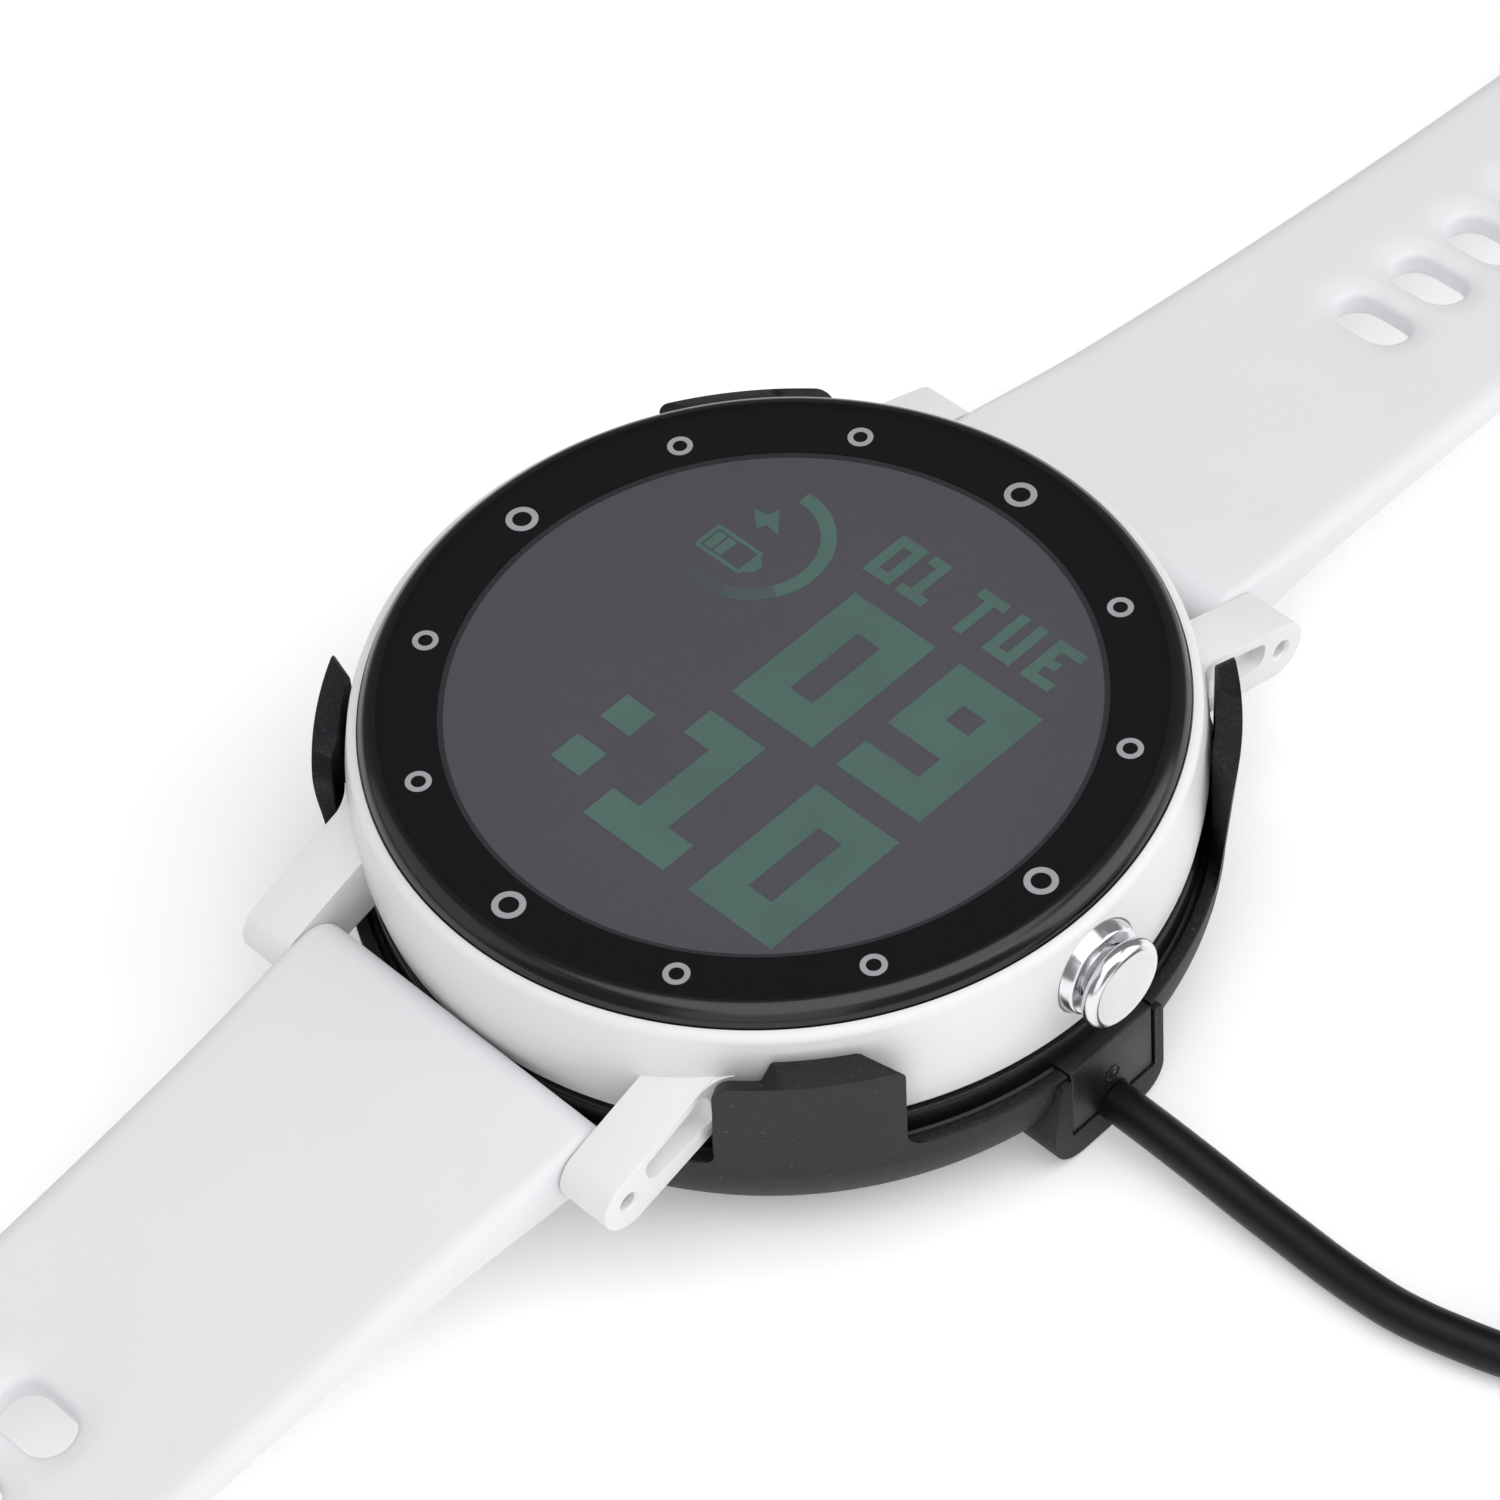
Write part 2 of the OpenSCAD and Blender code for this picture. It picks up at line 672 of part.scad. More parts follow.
// Spring pin i of the cradle, just touching the watch's contact
module pogo_pin(i) {
    color("goldenrod") translate([pogo_x, contact_y(i), 3.3]) {
        cylinder(h = 1.0, r = 0.45);
        cylinder(h = cover_z - 3.32, r = 0.35);
    }
}

module cable_grommet() {
    color("black") rod_x(cord_r + 0.09, 19.4, boss_x, 0, exit_z);
}

/* ---- Cable and plug ---- */

module charging_cable() {
    color("black") sweep(lead_in, cord_r);
    color("black") sweep(lead_out, cord_r);
}

// Outer shape of the coiled length
module cable_coil() {
    half = coil_cols * (cord_d + 0.05) / 2;
    color("black") translate([coil_at[0], coil_at[1], 0])
        ring(coil_r - half, coil_r + half, 0.05, 0.05 + coil_rows * (cord_d + 0.05));
}

// The children in the plug's own frame, whose X runs along the plug's nose
module at_plug() {
    translate(plug_at) rotate([0, 0, 90]) children();
}

module plug_overmould() {
    color("black") at_plug() difference() {
        union() {
            slab_x(round_rect(15.6, 8, 2.2), 9, 30);
            turned_x([[0, 0], [1.7, 0], [2.9, 9.5], [0, 9.5]], 0);
        }
        translate([26, -6.1, -2.35]) cube([8, 12.2, 4.7]);
    }
}

module plug_shell() {
    color("silver") at_plug() difference() {
        translate([26.1, -6, -2.25]) cube([18.5, 12, 4.5]);
        translate([26.4, -5.7, -1.95]) cube([20, 11.4, 3.9]);
        for (s = [-1, 1], side = [-3, 1]) translate([38, s * 2.6 - 1.1, side]) cube([2.2, 2.2, 2]);
    }
}

module plug_insulator() {
    color("white") at_plug() translate([26.45, -5.6, -1.9]) {
        cube([3, 11.2, 3.8]);
        cube([17, 11.2, 1.9]);
    }
}

module plug_contacts() {
    color("gold") at_plug() for (y = [-3.5, -1, 1, 3.5])
        translate([31, y - 0.5, 0]) cube([y * y > 4 ? 11.5 : 10.5, 1, 0.2]);
}

case_body();
lens();
lens_gasket();
display_panel();
backlight();
display_frame();
main_pcb();
rf_shield();
gps_antenna();
battery();
vibration_motor();
side_switch();
back_cover();
back_gasket();
charge_contacts();
back_screws();
button_collar();
button_pusher();
button_seal();
button_clip();
button_spring();
spring_bar_12();
spring_bar_6();
bar_spring_12();
bar_spring_6();
bar_tip_12_left();
bar_tip_12_right();
bar_tip_6_left();
bar_tip_6_right();
strap_12();
strap_6();
buckle_frame();
buckle_tongue();
buckle_bar();
keeper_fixed();
keeper_free();
cradle_shell();
cradle_insert();
cradle_pcb();
cradle_screws();
pogo_barrels();
pogo_pin(0);  // pogo_pin_1
pogo_pin(1);  // pogo_pin_2
pogo_pin(2);  // pogo_pin_3
pogo_pin(3);  // pogo_pin_4
cable_grommet();
charging_cable();
cable_coil();
plug_overmould();
plug_shell();
plug_insulator();
plug_contacts();
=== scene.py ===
import json
import math

import bmesh
import bpy
from mathutils import Matrix, Vector


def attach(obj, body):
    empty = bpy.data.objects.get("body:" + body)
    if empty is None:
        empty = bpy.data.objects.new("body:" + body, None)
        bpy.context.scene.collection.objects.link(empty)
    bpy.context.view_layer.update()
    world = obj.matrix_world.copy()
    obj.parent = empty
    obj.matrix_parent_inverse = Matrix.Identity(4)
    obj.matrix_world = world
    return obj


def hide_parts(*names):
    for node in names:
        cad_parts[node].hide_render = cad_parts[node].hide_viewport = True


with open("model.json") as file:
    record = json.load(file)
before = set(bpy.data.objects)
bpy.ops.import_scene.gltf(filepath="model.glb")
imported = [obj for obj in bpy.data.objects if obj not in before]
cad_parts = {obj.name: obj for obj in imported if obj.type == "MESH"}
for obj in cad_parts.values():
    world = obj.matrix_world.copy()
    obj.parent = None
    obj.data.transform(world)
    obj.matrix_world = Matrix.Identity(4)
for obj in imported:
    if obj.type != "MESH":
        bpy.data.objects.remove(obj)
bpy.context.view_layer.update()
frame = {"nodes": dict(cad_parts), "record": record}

NODES = frame["nodes"]

# All shapes below are worked out in millimetres and scaled once, when a piece is made.
MM = 0.001

# ---- Camera ----

CAMERA_AT = Vector((131.90, -116.06, 212.61))
CAMERA_AIM = Vector((1.820, -3.465, 15.8))
CAMERA_ROLL = math.radians(-5.77)
LENS = 124.2


def make_camera():
    data = bpy.data.cameras.new("camera")
    data.lens = LENS
    data.sensor_width = 36
    data.clip_start = 0.01
    camera = bpy.data.objects.new("camera", data)
    bpy.context.scene.collection.objects.link(camera)
    turn = (CAMERA_AIM - CAMERA_AT).to_track_quat("-Z", "Y").to_matrix()
    turn = turn @ Matrix.Rotation(CAMERA_ROLL, 3, "Z")
    camera.matrix_world = Matrix.Translation(CAMERA_AT * MM) @ turn.to_4x4()
    bpy.context.scene.camera = camera


make_camera()

# ---- Outlines and mesh building ----


def arc(cx, cy, radius, a0, a1, n):
    """n + 1 points on an arc, angles in degrees."""
    turns = [math.radians(a0 + (a1 - a0) * i / n) for i in range(n + 1)]
    return [(cx + radius * math.cos(t), cy + radius * math.sin(t)) for t in turns]


def rounded(corners, n=5):
    """Closed outline from (x, y, radius) corners, each rounded by its radius."""
    out = []
    for i, (x, y, radius) in enumerate(corners):
        here = Vector((x, y))
        if radius <= 0:
            out.append((x, y))
            continue
        to_a = (Vector(corners[i - 1][:2]) - here).normalized()
        to_b = (Vector(corners[(i + 1) % len(corners)][:2]) - here).normalized()
        half = to_a.angle(to_b) / 2
        middle = here + (to_a + to_b).normalized() * radius / math.sin(half)
        start = here + to_a * radius / math.tan(half) - middle
        end = here + to_b * radius / math.tan(half) - middle
        sweep = start.angle_signed(end)
        for k in range(n + 1):
            turn = Matrix.Rotation(-sweep * k / n, 2)
            out.append(tuple(middle + turn @ start))
    return out


def box_outline(x0, y0, x1, y1, radius, n=5):
    return rounded([(x0, y0, radius), (x1, y0, radius), (x1, y1, radius), (x0, y1, radius)], n)


def smooth_step(t):
    t = min(max(t, 0.0), 1.0)
    return t * t * (3 - 2 * t)


def bezier(points, t):
    u = 1 - t
    weights = (u * u * u, 3 * u * u * t, 3 * u * t * t, t * t * t)
    return tuple(sum(w * p[k] for w, p in zip(weights, points)) for k in (0, 1))


def skin(bm, rows, closed_rows=True, closed_columns=False, material=0):
    """Quads between rows of vertices."""
    count = len(rows[0])
    for i in range(len(rows) if closed_columns else len(rows) - 1):
        a, b = rows[i], rows[(i + 1) % len(rows)]
        for j in range(count if closed_rows else count - 1):
            k = (j + 1) % count
            corners = []
            for v in (a[j], a[k], b[k], b[j]):
                if v not in corners:
                    corners.append(v)
            if len(corners) > 2:
                bm.faces.new(corners).material_index = material


def lathe(bm, profile, segments=192, matrix=None, material=None):
    """A closed profile of (radius, height) turned about Z. material(r, z) picks the slot."""
    matrix = matrix or Matrix()
    rings = []
    for radius, height in profile:
        if radius < 1e-6:
            rings.append([bm.verts.new(matrix @ Vector((0, 0, height)))] * segments)
            continue
        ring = []
        for k in range(segments):
            a = 2 * math.pi * k / segments
            ring.append(bm.verts.new(matrix @ Vector((radius * math.cos(a), radius * math.sin(a), height))))
        rings.append(ring)
    for i, ring in enumerate(rings):
        after = (i + 1) % len(rings)
        r = (profile[i][0] + profile[after][0]) / 2
        z = (profile[i][1] + profile[after][1]) / 2
        if profile[i][0] < 1e-6 and profile[after][0] < 1e-6:
            continue
        skin(bm, [ring, rings[after]], material=material(r, z) if material else 0)


def plate(bm, loops, z0, z1, matrix=None, material=0):
    """An outline with holes, extruded from z0 to z1."""
    matrix = matrix or Matrix()
    caps = {z0: [], z1: []}
    for loop in loops:
        low, high = ([bm.verts.new(matrix @ Vector((x, y, z))) for x, y in loop] for z in (z0, z1))
        skin(bm, [low, high], material=material)
        for z, ring in ((z0, low), (z1, high)):
            caps[z] += [bm.edges.get((ring[i - 1], ring[i])) for i in range(len(ring))]
    for edges in caps.values():
        filled = bmesh.ops.triangle_fill(bm, use_beauty=True, use_dissolve=False, edges=edges)
        for face in filled["geom"]:
            if isinstance(face, bmesh.types.BMFace):
                face.material_index = material
    bmesh.ops.recalc_face_normals(bm, faces=bm.faces)


def soften(bm, width, segments=3, limit=30, edges=None):
    """Rounds the sharp edges."""
    if edges is None:
        edges = [e for e in bm.edges if e.is_manifold and e.calc_face_angle(0) > math.radians(limit)]
    bmesh.ops.bevel(
        bm, geom=edges, offset=width, segments=segments, profile=0.5, affect="EDGES",
        clamp_overlap=True, loop_slide=True,
    )


# Turns a lathe's axis from Z to X.
ALONG_X = Matrix.Rotation(math.pi / 2, 4, "Y")
# Maps an outline's own X and Y to the scene's Y and Z, and the extrusion to X.
SIDEWAYS = Matrix(((0, 0, 1, 0), (1, 0, 0, 0), (0, 1, 0, 0), (0, 0, 0, 1)))


def rod(bm, radius, x0, x1, y, z, segments=48, edge=0.0):
    """A cylinder along X."""
    profile = rounded([(0, x0, 0), (radius, x0, edge), (radius, x1, edge), (0, x1, 0)], 4)
    lathe(bm, profile, segments, Matrix.Translation((0, y, z)) @ ALONG_X)


def as_temporary(bm):
    mesh = bpy.data.meshes.new("temporary")
    bm.to_mesh(mesh)
    bm.free()
    obj = bpy.data.objects.new("temporary", mesh)
    bpy.context.scene.collection.objects.link(obj)
    return obj


def combine(bm, other, operation="DIFFERENCE"):
    """The two solids joined or cut, as a new bmesh."""
    for part in (bm, other):
        bmesh.ops.recalc_face_normals(part, faces=part.faces)
    body, tool = as_temporary(bm), as_temporary(other)
    step = body.modifiers.new("step", "BOOLEAN")
    step.operation = operation
    step.solver = "EXACT"
    step.object = tool
    made = body.evaluated_get(bpy.context.evaluated_depsgraph_get()).to_mesh()
    result = bmesh.new()
    result.from_mesh(made)
    for obj in (body, tool):
        mesh = obj.data
        bpy.data.objects.remove(obj)
        bpy.data.meshes.remove(mesh)
    return result


def drill(bm, *rods):
    """The solid with rods along X cut out of it, as a new bmesh."""
    tool = bmesh.new()
    for sizes in rods:
        rod(tool, *sizes)
    return combine(bm, tool)


def merge_into(target, bm, matrix=None):
    """Adds one bmesh to another."""
    mesh = bpy.data.meshes.new("temporary")
    bm.to_mesh(mesh)
    if matrix:
        mesh.transform(matrix)
        if matrix.determinant() < 0:
            mesh.flip_normals()
    target.from_mesh(mesh)
    bpy.data.meshes.remove(mesh)


def merge_in_corners(target, bm):
    """Adds what is shaped for the positive X and Y corner to all four corners."""
    for sx in (-1, 1):
        for sy in (-1, 1):
            merge_into(target, bm, Matrix.Diagonal((sx, sy, 1, 1)))
    bm.free()


SHARP = math.radians(35)
MAT = {}  # every finished material, by its name


def piece(name, bm, body, slot, replaces=(), looks=None):
    """Makes the object: scaled to metres, shaded smooth apart from its sharp edges, riding on a body.

    looks names its materials where they aren't just the slot's own.
    """
    bmesh.ops.remove_doubles(bm, verts=bm.verts, dist=1e-4)
    bmesh.ops.dissolve_degenerate(bm, edges=bm.edges, dist=1e-5)
    loose = [v for v in bm.verts if not v.link_faces]
    bmesh.ops.delete(bm, geom=loose, context="VERTS")
    bmesh.ops.recalc_face_normals(bm, faces=bm.faces)
    for face in bm.faces:
        face.smooth = True
    for edge in bm.edges:
        edge.smooth = not (edge.is_manifold and edge.calc_face_angle(0) > SHARP)
    bmesh.ops.scale(bm, vec=(MM, MM, MM), verts=bm.verts)
    mesh = bpy.data.meshes.new(name)
    bm.to_mesh(mesh)
    bm.free()
    for look in looks or [slot]:
        mesh.materials.append(MAT[look])
    obj = bpy.data.objects.new(name, mesh)
    bpy.context.scene.collection.objects.link(obj)
    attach(obj, body)
    if replaces:
        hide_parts(*replaces)
    return obj


# ---- Materials ----


class Nodes:
    """A material's node tree with short names for what is used here."""

    def __init__(self, name):
        self.name = name
        self.material = bpy.data.materials.new(name)
        self.material.use_nodes = True
        self.tree = self.material.node_tree
        self.tree.nodes.clear()
        self.out = self.tree.nodes.new("ShaderNodeOutputMaterial")

    def add(self, kind, inputs=None, **settings):
        node = self.tree.nodes.new("ShaderNode" + kind)
        for key, value in settings.items():
            setattr(node, key, value)
        for key, value in (inputs or {}).items():
            if isinstance(value, bpy.types.NodeSocket):
                self.tree.links.new(value, node.inputs[key])
            else:
                node.inputs[key].default_value = value
        return node

    def place(self, stretch=(1, 1, 1)):
        where = self.add("TexCoord").outputs["Object"]
        return self.add("Mapping", {"Vector": where, "Scale": stretch}).outputs["Vector"]

    def noise(self, scale, detail=3, stretch=(1, 1, 1)):
        inputs = {"Vector": self.place(stretch), "Scale": scale, "Detail": detail, "Roughness": 0.6}
        return self.add("TexNoise", inputs).outputs["Fac"]

    def ramp(self, value, low, high, to_low, to_high):
        inputs = {"Value": value, "From Min": low, "From Max": high, "To Min": to_low, "To Max": to_high}
        return self.add("MapRange", inputs).outputs["Result"]

    def mix(self, factor, a, b):
        node = self.add("Mix", {"Factor": factor}, data_type="RGBA")
        for socket, value in ((node.inputs[6], a), (node.inputs[7], b)):
            if isinstance(value, bpy.types.NodeSocket):
                self.tree.links.new(value, socket)
            else:
                socket.default_value = (*value, 1)
        return node.outputs[2]

    def finish(self, shader):
        self.tree.links.new(shader.outputs[0], self.out.inputs["Surface"])
        MAT[self.name] = self.material


def tint(color, factor):
    return tuple(min(c * factor, 1.0) for c in color)


def surface(name, color, rough, vary=0.05, patch=400, grain=6000, bump=0.05, stretch=(1, 1, 1),
            fleck=0.0, specks=0.0, **sockets):
    """A plain material: mottled colour, uneven gloss, fine grain, and flecks and specks of dust if asked."""
    n = Nodes(name)
    blotches = n.noise(patch, 4)
    fine = n.noise(grain, 3, stretch)
    base = n.mix(n.ramp(blotches, 0.3, 0.7, 0, 1), tint(color, 1 - vary), tint(color, 1 + vary))
    if fleck:
        base = n.mix(n.ramp(fine, 0.5, 0.66, 0, fleck), base, tint(color, 5))
    if specks:
        dots = n.add("TexVoronoi", {"Vector": n.place(), "Scale": 900.0}).outputs["Distance"]
        base = n.mix(n.ramp(dots, 0.05, 0.10, specks, 0), base, tint(color, 12))
    gloss = n.ramp(fine, 0.3, 0.7, rough * 0.88, rough * 1.12)
    height = n.add("Bump", {"Strength": bump, "Distance": 0.0001, "Height": fine}).outputs["Normal"]
    inputs = {"Base Color": base, "Roughness": gloss, "Normal": height}
    inputs.update({key.replace("_", " "): value for key, value in sockets.items()})
    n.finish(n.add("BsdfPrincipled", inputs))


def brushed(name, color, rough, along=(1, 1, 1)):
    """Metal with fine drawn lines along one direction."""
    surface(name, color, rough, vary=0.08, grain=2500, bump=0.06, stretch=along, Metallic=1.0)


def clear_glass(name):
    """Glass that mirrors by its angle and shows what lies behind it."""
    n = Nodes(name)
    mirror = n.add("BsdfGlossy", {"Color": (1, 1, 1, 1), "Roughness": 0.03})
    through = n.add("BsdfTransparent", {"Color": (0.97, 0.97, 0.98, 1)})
    how_much = n.add("Fresnel", {"IOR": 1.45}).outputs["Fac"]
    n.finish(n.add("MixShader", {0: how_much, 1: through.outputs[0], 2: mirror.outputs[0]}))


def display_ink(name, color, pitch=0.00014):
    """Lit segments, drawn by a fine grid of square pixels."""
    n = Nodes(name)
    split = n.add("SeparateXYZ", {"Vector": n.place((1 / pitch, 1 / pitch, 1))})
    lines = []
    for axis in "XY":
        part = n.add("Math", {0: split.outputs[axis]}, operation="FRACT").outputs[0]
        lines.append(n.ramp(part, 0.0, 0.25, 0.0, 1.0))
    cell = n.add("Math", {0: lines[0], 1: lines[1]}, operation="MULTIPLY").outputs[0]
    cloud = n.noise(120, 2)
    body = n.mix(n.ramp(cloud, 0.35, 0.65, 0, 1), tint(color, 0.92), tint(color, 1.08))
    base = n.mix(n.ramp(cell, 0, 1, 0.6, 0), body, tint(color, 0.4))
    n.finish(n.add("BsdfPrincipled", {"Base Color": base, "Roughness": 0.5}))


surface("case_white", (0.82, 0.81, 0.82), 0.42, vary=0.012, patch=150, grain=7000, bump=0.03,
        Specular_IOR_Level=0.45)
clear_glass("lens_glass")
surface("glass_edge", (0.005, 0.005, 0.006), 0.2, grain=900, bump=0.0)
surface("dial_black", (0.0055, 0.005, 0.0075), 0.55, vary=0.02, grain=900, bump=0.0, Specular_IOR_Level=0.0)
surface("marker_silver", (0.66, 0.66, 0.67), 0.4, grain=9000, bump=0.02)
surface("display", (0.134, 0.130, 0.150), 0.55, vary=0.02, patch=60, grain=5000, bump=0.02,
        stretch=(1, 0.3, 1), fleck=0.012, Specular_IOR_Level=0.1)
surface("display_edge", (0.03, 0.03, 0.034), 0.6, bump=0.01)
display_ink("segment_green", (0.140, 0.262, 0.216))
display_ink("segment_dim", (0.125, 0.175, 0.165))
display_ink("segment_faint", (0.127, 0.146, 0.153))
surface("black_foam", (0.02, 0.02, 0.02), 0.85, grain=9000, bump=0.3)
surface("diffuser", (0.80, 0.82, 0.85), 0.5)
surface("inner_plastic", (0.03, 0.04, 0.04), 0.5)
surface("circuit_board", (0.01, 0.10, 0.03), 0.35, vary=0.3, patch=900)
brushed("tinned_steel", (0.62, 0.62, 0.62), 0.35, (1, 12, 1))
surface("antenna_ceramic", (0.55, 0.40, 0.25), 0.6, grain=4000, bump=0.2)
surface("battery_foil", (0.5, 0.52, 0.55), 0.3, Metallic=1.0, bump=0.2, grain=1200)
surface("switch_body", (0.02, 0.02, 0.02), 0.3)
surface("back_plastic", (0.022, 0.022, 0.024), 0.5, grain=9000, bump=0.25)
surface("gold_plate", (0.83, 0.55, 0.20), 0.22, grain=3000, Metallic=1.0)
brushed("screw_steel", (0.56, 0.56, 0.56), 0.3)
surface("button_chrome", (0.80, 0.79, 0.81), 0.2, vary=0.02, grain=3000, bump=0.0, Metallic=1.0)
surface("button_satin", (0.80, 0.79, 0.81), 0.36, vary=0.03, grain=4000, bump=0.02, stretch=(1, 1, 0.15),
        Metallic=1.0)
brushed("spring_steel", (0.5, 0.5, 0.52), 0.3)
brushed("bar_steel", (0.6, 0.6, 0.61), 0.25, (0.1, 1, 1))
surface("strap_silicone", (0.785, 0.775, 0.795), 0.58, vary=0.012, patch=90, grain=9000, bump=0.05,
        Specular_IOR_Level=0.4, Sheen_Weight=0.15, Sheen_Roughness=0.5)
brushed("buckle_steel", (0.66, 0.66, 0.67), 0.26, (0.1, 1, 1))
surface("cradle_black", (0.0058, 0.0054, 0.0072), 0.52, vary=0.15, patch=1200, grain=6500, bump=0.5,
        fleck=0.6, specks=0.8, Specular_IOR_Level=0.30)
surface("cradle_gloss", (0.005, 0.005, 0.006), 0.34, vary=0.1, grain=6500, bump=0.3, fleck=0.2, specks=0.4,
        Specular_IOR_Level=0.35)
surface("cable_black", (0.0018, 0.0017, 0.0024), 0.42, vary=0.3, patch=400, grain=2000, bump=0.08,
        fleck=0.1, Specular_IOR_Level=0.3)
surface("tie_fabric", (0.014, 0.014, 0.015), 0.85, grain=3500, bump=0.8, stretch=(1, 0.3, 0.3), fleck=0.4,
        Sheen_Weight=0.3, Sheen_Roughness=0.4)
brushed("plug_steel", (0.66, 0.66, 0.67), 0.24, (1, 0.1, 1))
surface("plug_white", (0.75, 0.75, 0.74), 0.35)

for part in frame["record"]["subparts"]:
    for socket in NODES[part["node"]].material_slots:
        socket.material = MAT[part["material_slot"]]

# ---- Cable: straight out of the block, down to the floor, into a coil and to the plug ----

CORD_R = 1.1
LIE = 1.15  # height of the centreline where the cable lies on the floor
LEAD_IN = [
    (23.2, 0, 2.1), (26, 0, 2.0), (29, 0, 1.8), (32, 0, 1.5), (35, 0, 1.3), (38, 0, LIE), (41, 0.1, LIE),
    (43, 0.4, LIE), (45, 0.9, LIE), (47, 1.5, LIE), (50, 2.6, LIE), (53, 3.7, LIE), (56, 4.8, LIE),
    (59, 5.9, LIE), (62, 7.0, LIE), (64.5, 7.9, LIE), (65.9, 8.5, LIE),
]
LEAD_OUT = [
    (75.4, 22, 7.9), (75.5, 25, 7.8), (75.5, 28, 7.5), (75.5, 31, 7.0), (75.5, 34, 6.4), (75.5, 37, 5.7),
    (75.5, 40, 5.1), (75.5, 43, 4.6), (75.5, 46, 4.2), (75.5, 48, 4.05), (75.5, 50, 4.0),
]
COIL_AT = (61, 22)
COIL_MEAN = 12.1
COIL_PITCH = 2.25
COIL_COLUMNS = 3
COIL_LAYERS = 4
COIL_START = -70
COIL_STEPS = 48


def coil_route():
    """Centreline of the turns: each layer runs across the columns, then steps up and runs back."""
    turns = COIL_COLUMNS * COIL_LAYERS
    places = []
    for layer in range(COIL_LAYERS):
        columns = range(COIL_COLUMNS)
        for column in (reversed(columns) if layer % 2 == 0 else columns):
            radius = COIL_MEAN + (column - (COIL_COLUMNS - 1) / 2) * COIL_PITCH
            places.append((radius, LIE + layer * COIL_PITCH))
    places.append(places[-1])
    points = []
    total = turns * COIL_STEPS + round(-COIL_START / 360 * COIL_STEPS)
    for i in range(total + 1):
        turn = i / COIL_STEPS
        k = min(int(turn), turns - 1)
        across = 0 if k == turns - 1 else smooth_step((turn - k - 0.75) / 0.25)
        a, b = places[k], places[k + 1]
        radius = a[0] + (b[0] - a[0]) * across
        height = a[1] + (b[1] - a[1]) * across
        angle = math.radians(COIL_START + 360 * turn)
        points.append((COIL_AT[0] + radius * math.cos(angle), COIL_AT[1] + radius * math.sin(angle), height))
    return points


def catmull(points, steps=4):
    """A smooth line through the points."""
    v = [Vector(p) for p in points]
    v = [2 * v[0] - v[1]] + v + [2 * v[-1] - v[-2]]
    out = []
    for i in range(1, len(v) - 2):
        a, b, c, d = v[i - 1:i + 3]
        for k in range(steps):
            t = k / steps
            out.append(0.5 * (2 * b + (c - a) * t + (2 * a - 5 * b + 4 * c - d) * t * t
                              + (3 * b - a - 3 * c + d) * t ** 3))
    return out + [v[-2]]


def make_cable():
    route = catmull(LEAD_IN)[:-1] + [Vector(p) for p in coil_route()] + catmull(LEAD_OUT)[1:]
    data = bpy.data.curves.new("cable", "CURVE")
    data.dimensions = "3D"
    data.bevel_depth = CORD_R * MM
    data.bevel_resolution = 5
    spline = data.splines.new("POLY")
    spline.points.add(len(route) - 1)
    for point, at in zip(spline.points, route):
        point.co = (*(at * MM), 1)
    spline.use_smooth = True
    cable = bpy.data.objects.new("cable", data)
    bpy.context.scene.collection.objects.link(cable)
    cable.data.materials.append(MAT["cable_black"])
    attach(cable, "cradle")
    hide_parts("charging_cable", "cable_coil")
    return cable, sum((b - a).length for a, b in zip(route, route[1:])) * MM


PLUG_Y = 50
PLUG_AT = Matrix.Translation((75.5, PLUG_Y, 4.0)) @ Matrix.Rotation(-math.pi / 2, 4, "X")


def make_plug():
    """Moulded grip with a ribbed strain relief, a folded metal shell and its plastic tongue."""
    bm = bmesh.new()
    neck = [(CORD_R + 0.02, 0.0)]
    for i in range(5):
        y = 0.6 + 1.7 * i
        wide = 1.75 + 0.28 * i
        neck += [(wide, y), (wide + 0.1, y + 0.15), (wide + 0.1, y + 0.95), (wide, y + 1.1),
                 (wide - 0.35, y + 1.2), (wide - 0.3, y + 1.6)]
    neck += [(3.0, 9.4), (3.0, 10.0), (0, 10.0), (0, 0.0)]
    lathe(bm, neck, 40, PLUG_AT)
    grip = bmesh.new()
    plate(grip, [box_outline(-7.8, -3.8, 7.8, 3.8, 2.4, 8)], 9.0, 30.0, PLUG_AT)
    soften(grip, 0.8, 4)
    for side in (-1, 1):
        cutter = bmesh.new()
        for i in range(5):
            at = PLUG_AT @ Matrix.Translation((0, side * 4.25, 14 + 2.4 * i)) @ ALONG_X
            lathe(cutter, [(0, -4.5), (0.7, -4.5), (0.7, 4.5), (0, 4.5)], 24, at)
        grip = combine(grip, cutter)
    joined = combine(bm, grip, "UNION")
    overmould = piece("plug_grip", joined, "cradle", "cable_black", ["plug_overmould"])

    bm = bmesh.new()
    wall = [box_outline(-6.0, -2.25, 6.0, 2.25, 0.5), box_outline(-5.7, -1.95, 5.7, 1.95, 0.3)]
    plate(bm, wall, 26.1, 44.6, PLUG_AT)
    holes = bmesh.new()
    for x in (-2.6, 2.6):
        plate(holes, [box_outline(x - 1.15, 34.5, x + 1.15, 36.8, 0.15)], -3, 3,
              PLUG_AT @ Matrix.Rotation(math.pi / 2, 4, "X") @ Matrix.Scale(-1, 4, (0, 0, 1)))
    shell = piece("plug_can", combine(bm, holes), "cradle", "plug_steel", ["plug_shell"])
    return [overmould, shell, NODES["plug_insulator"], NODES["plug_contacts"]]


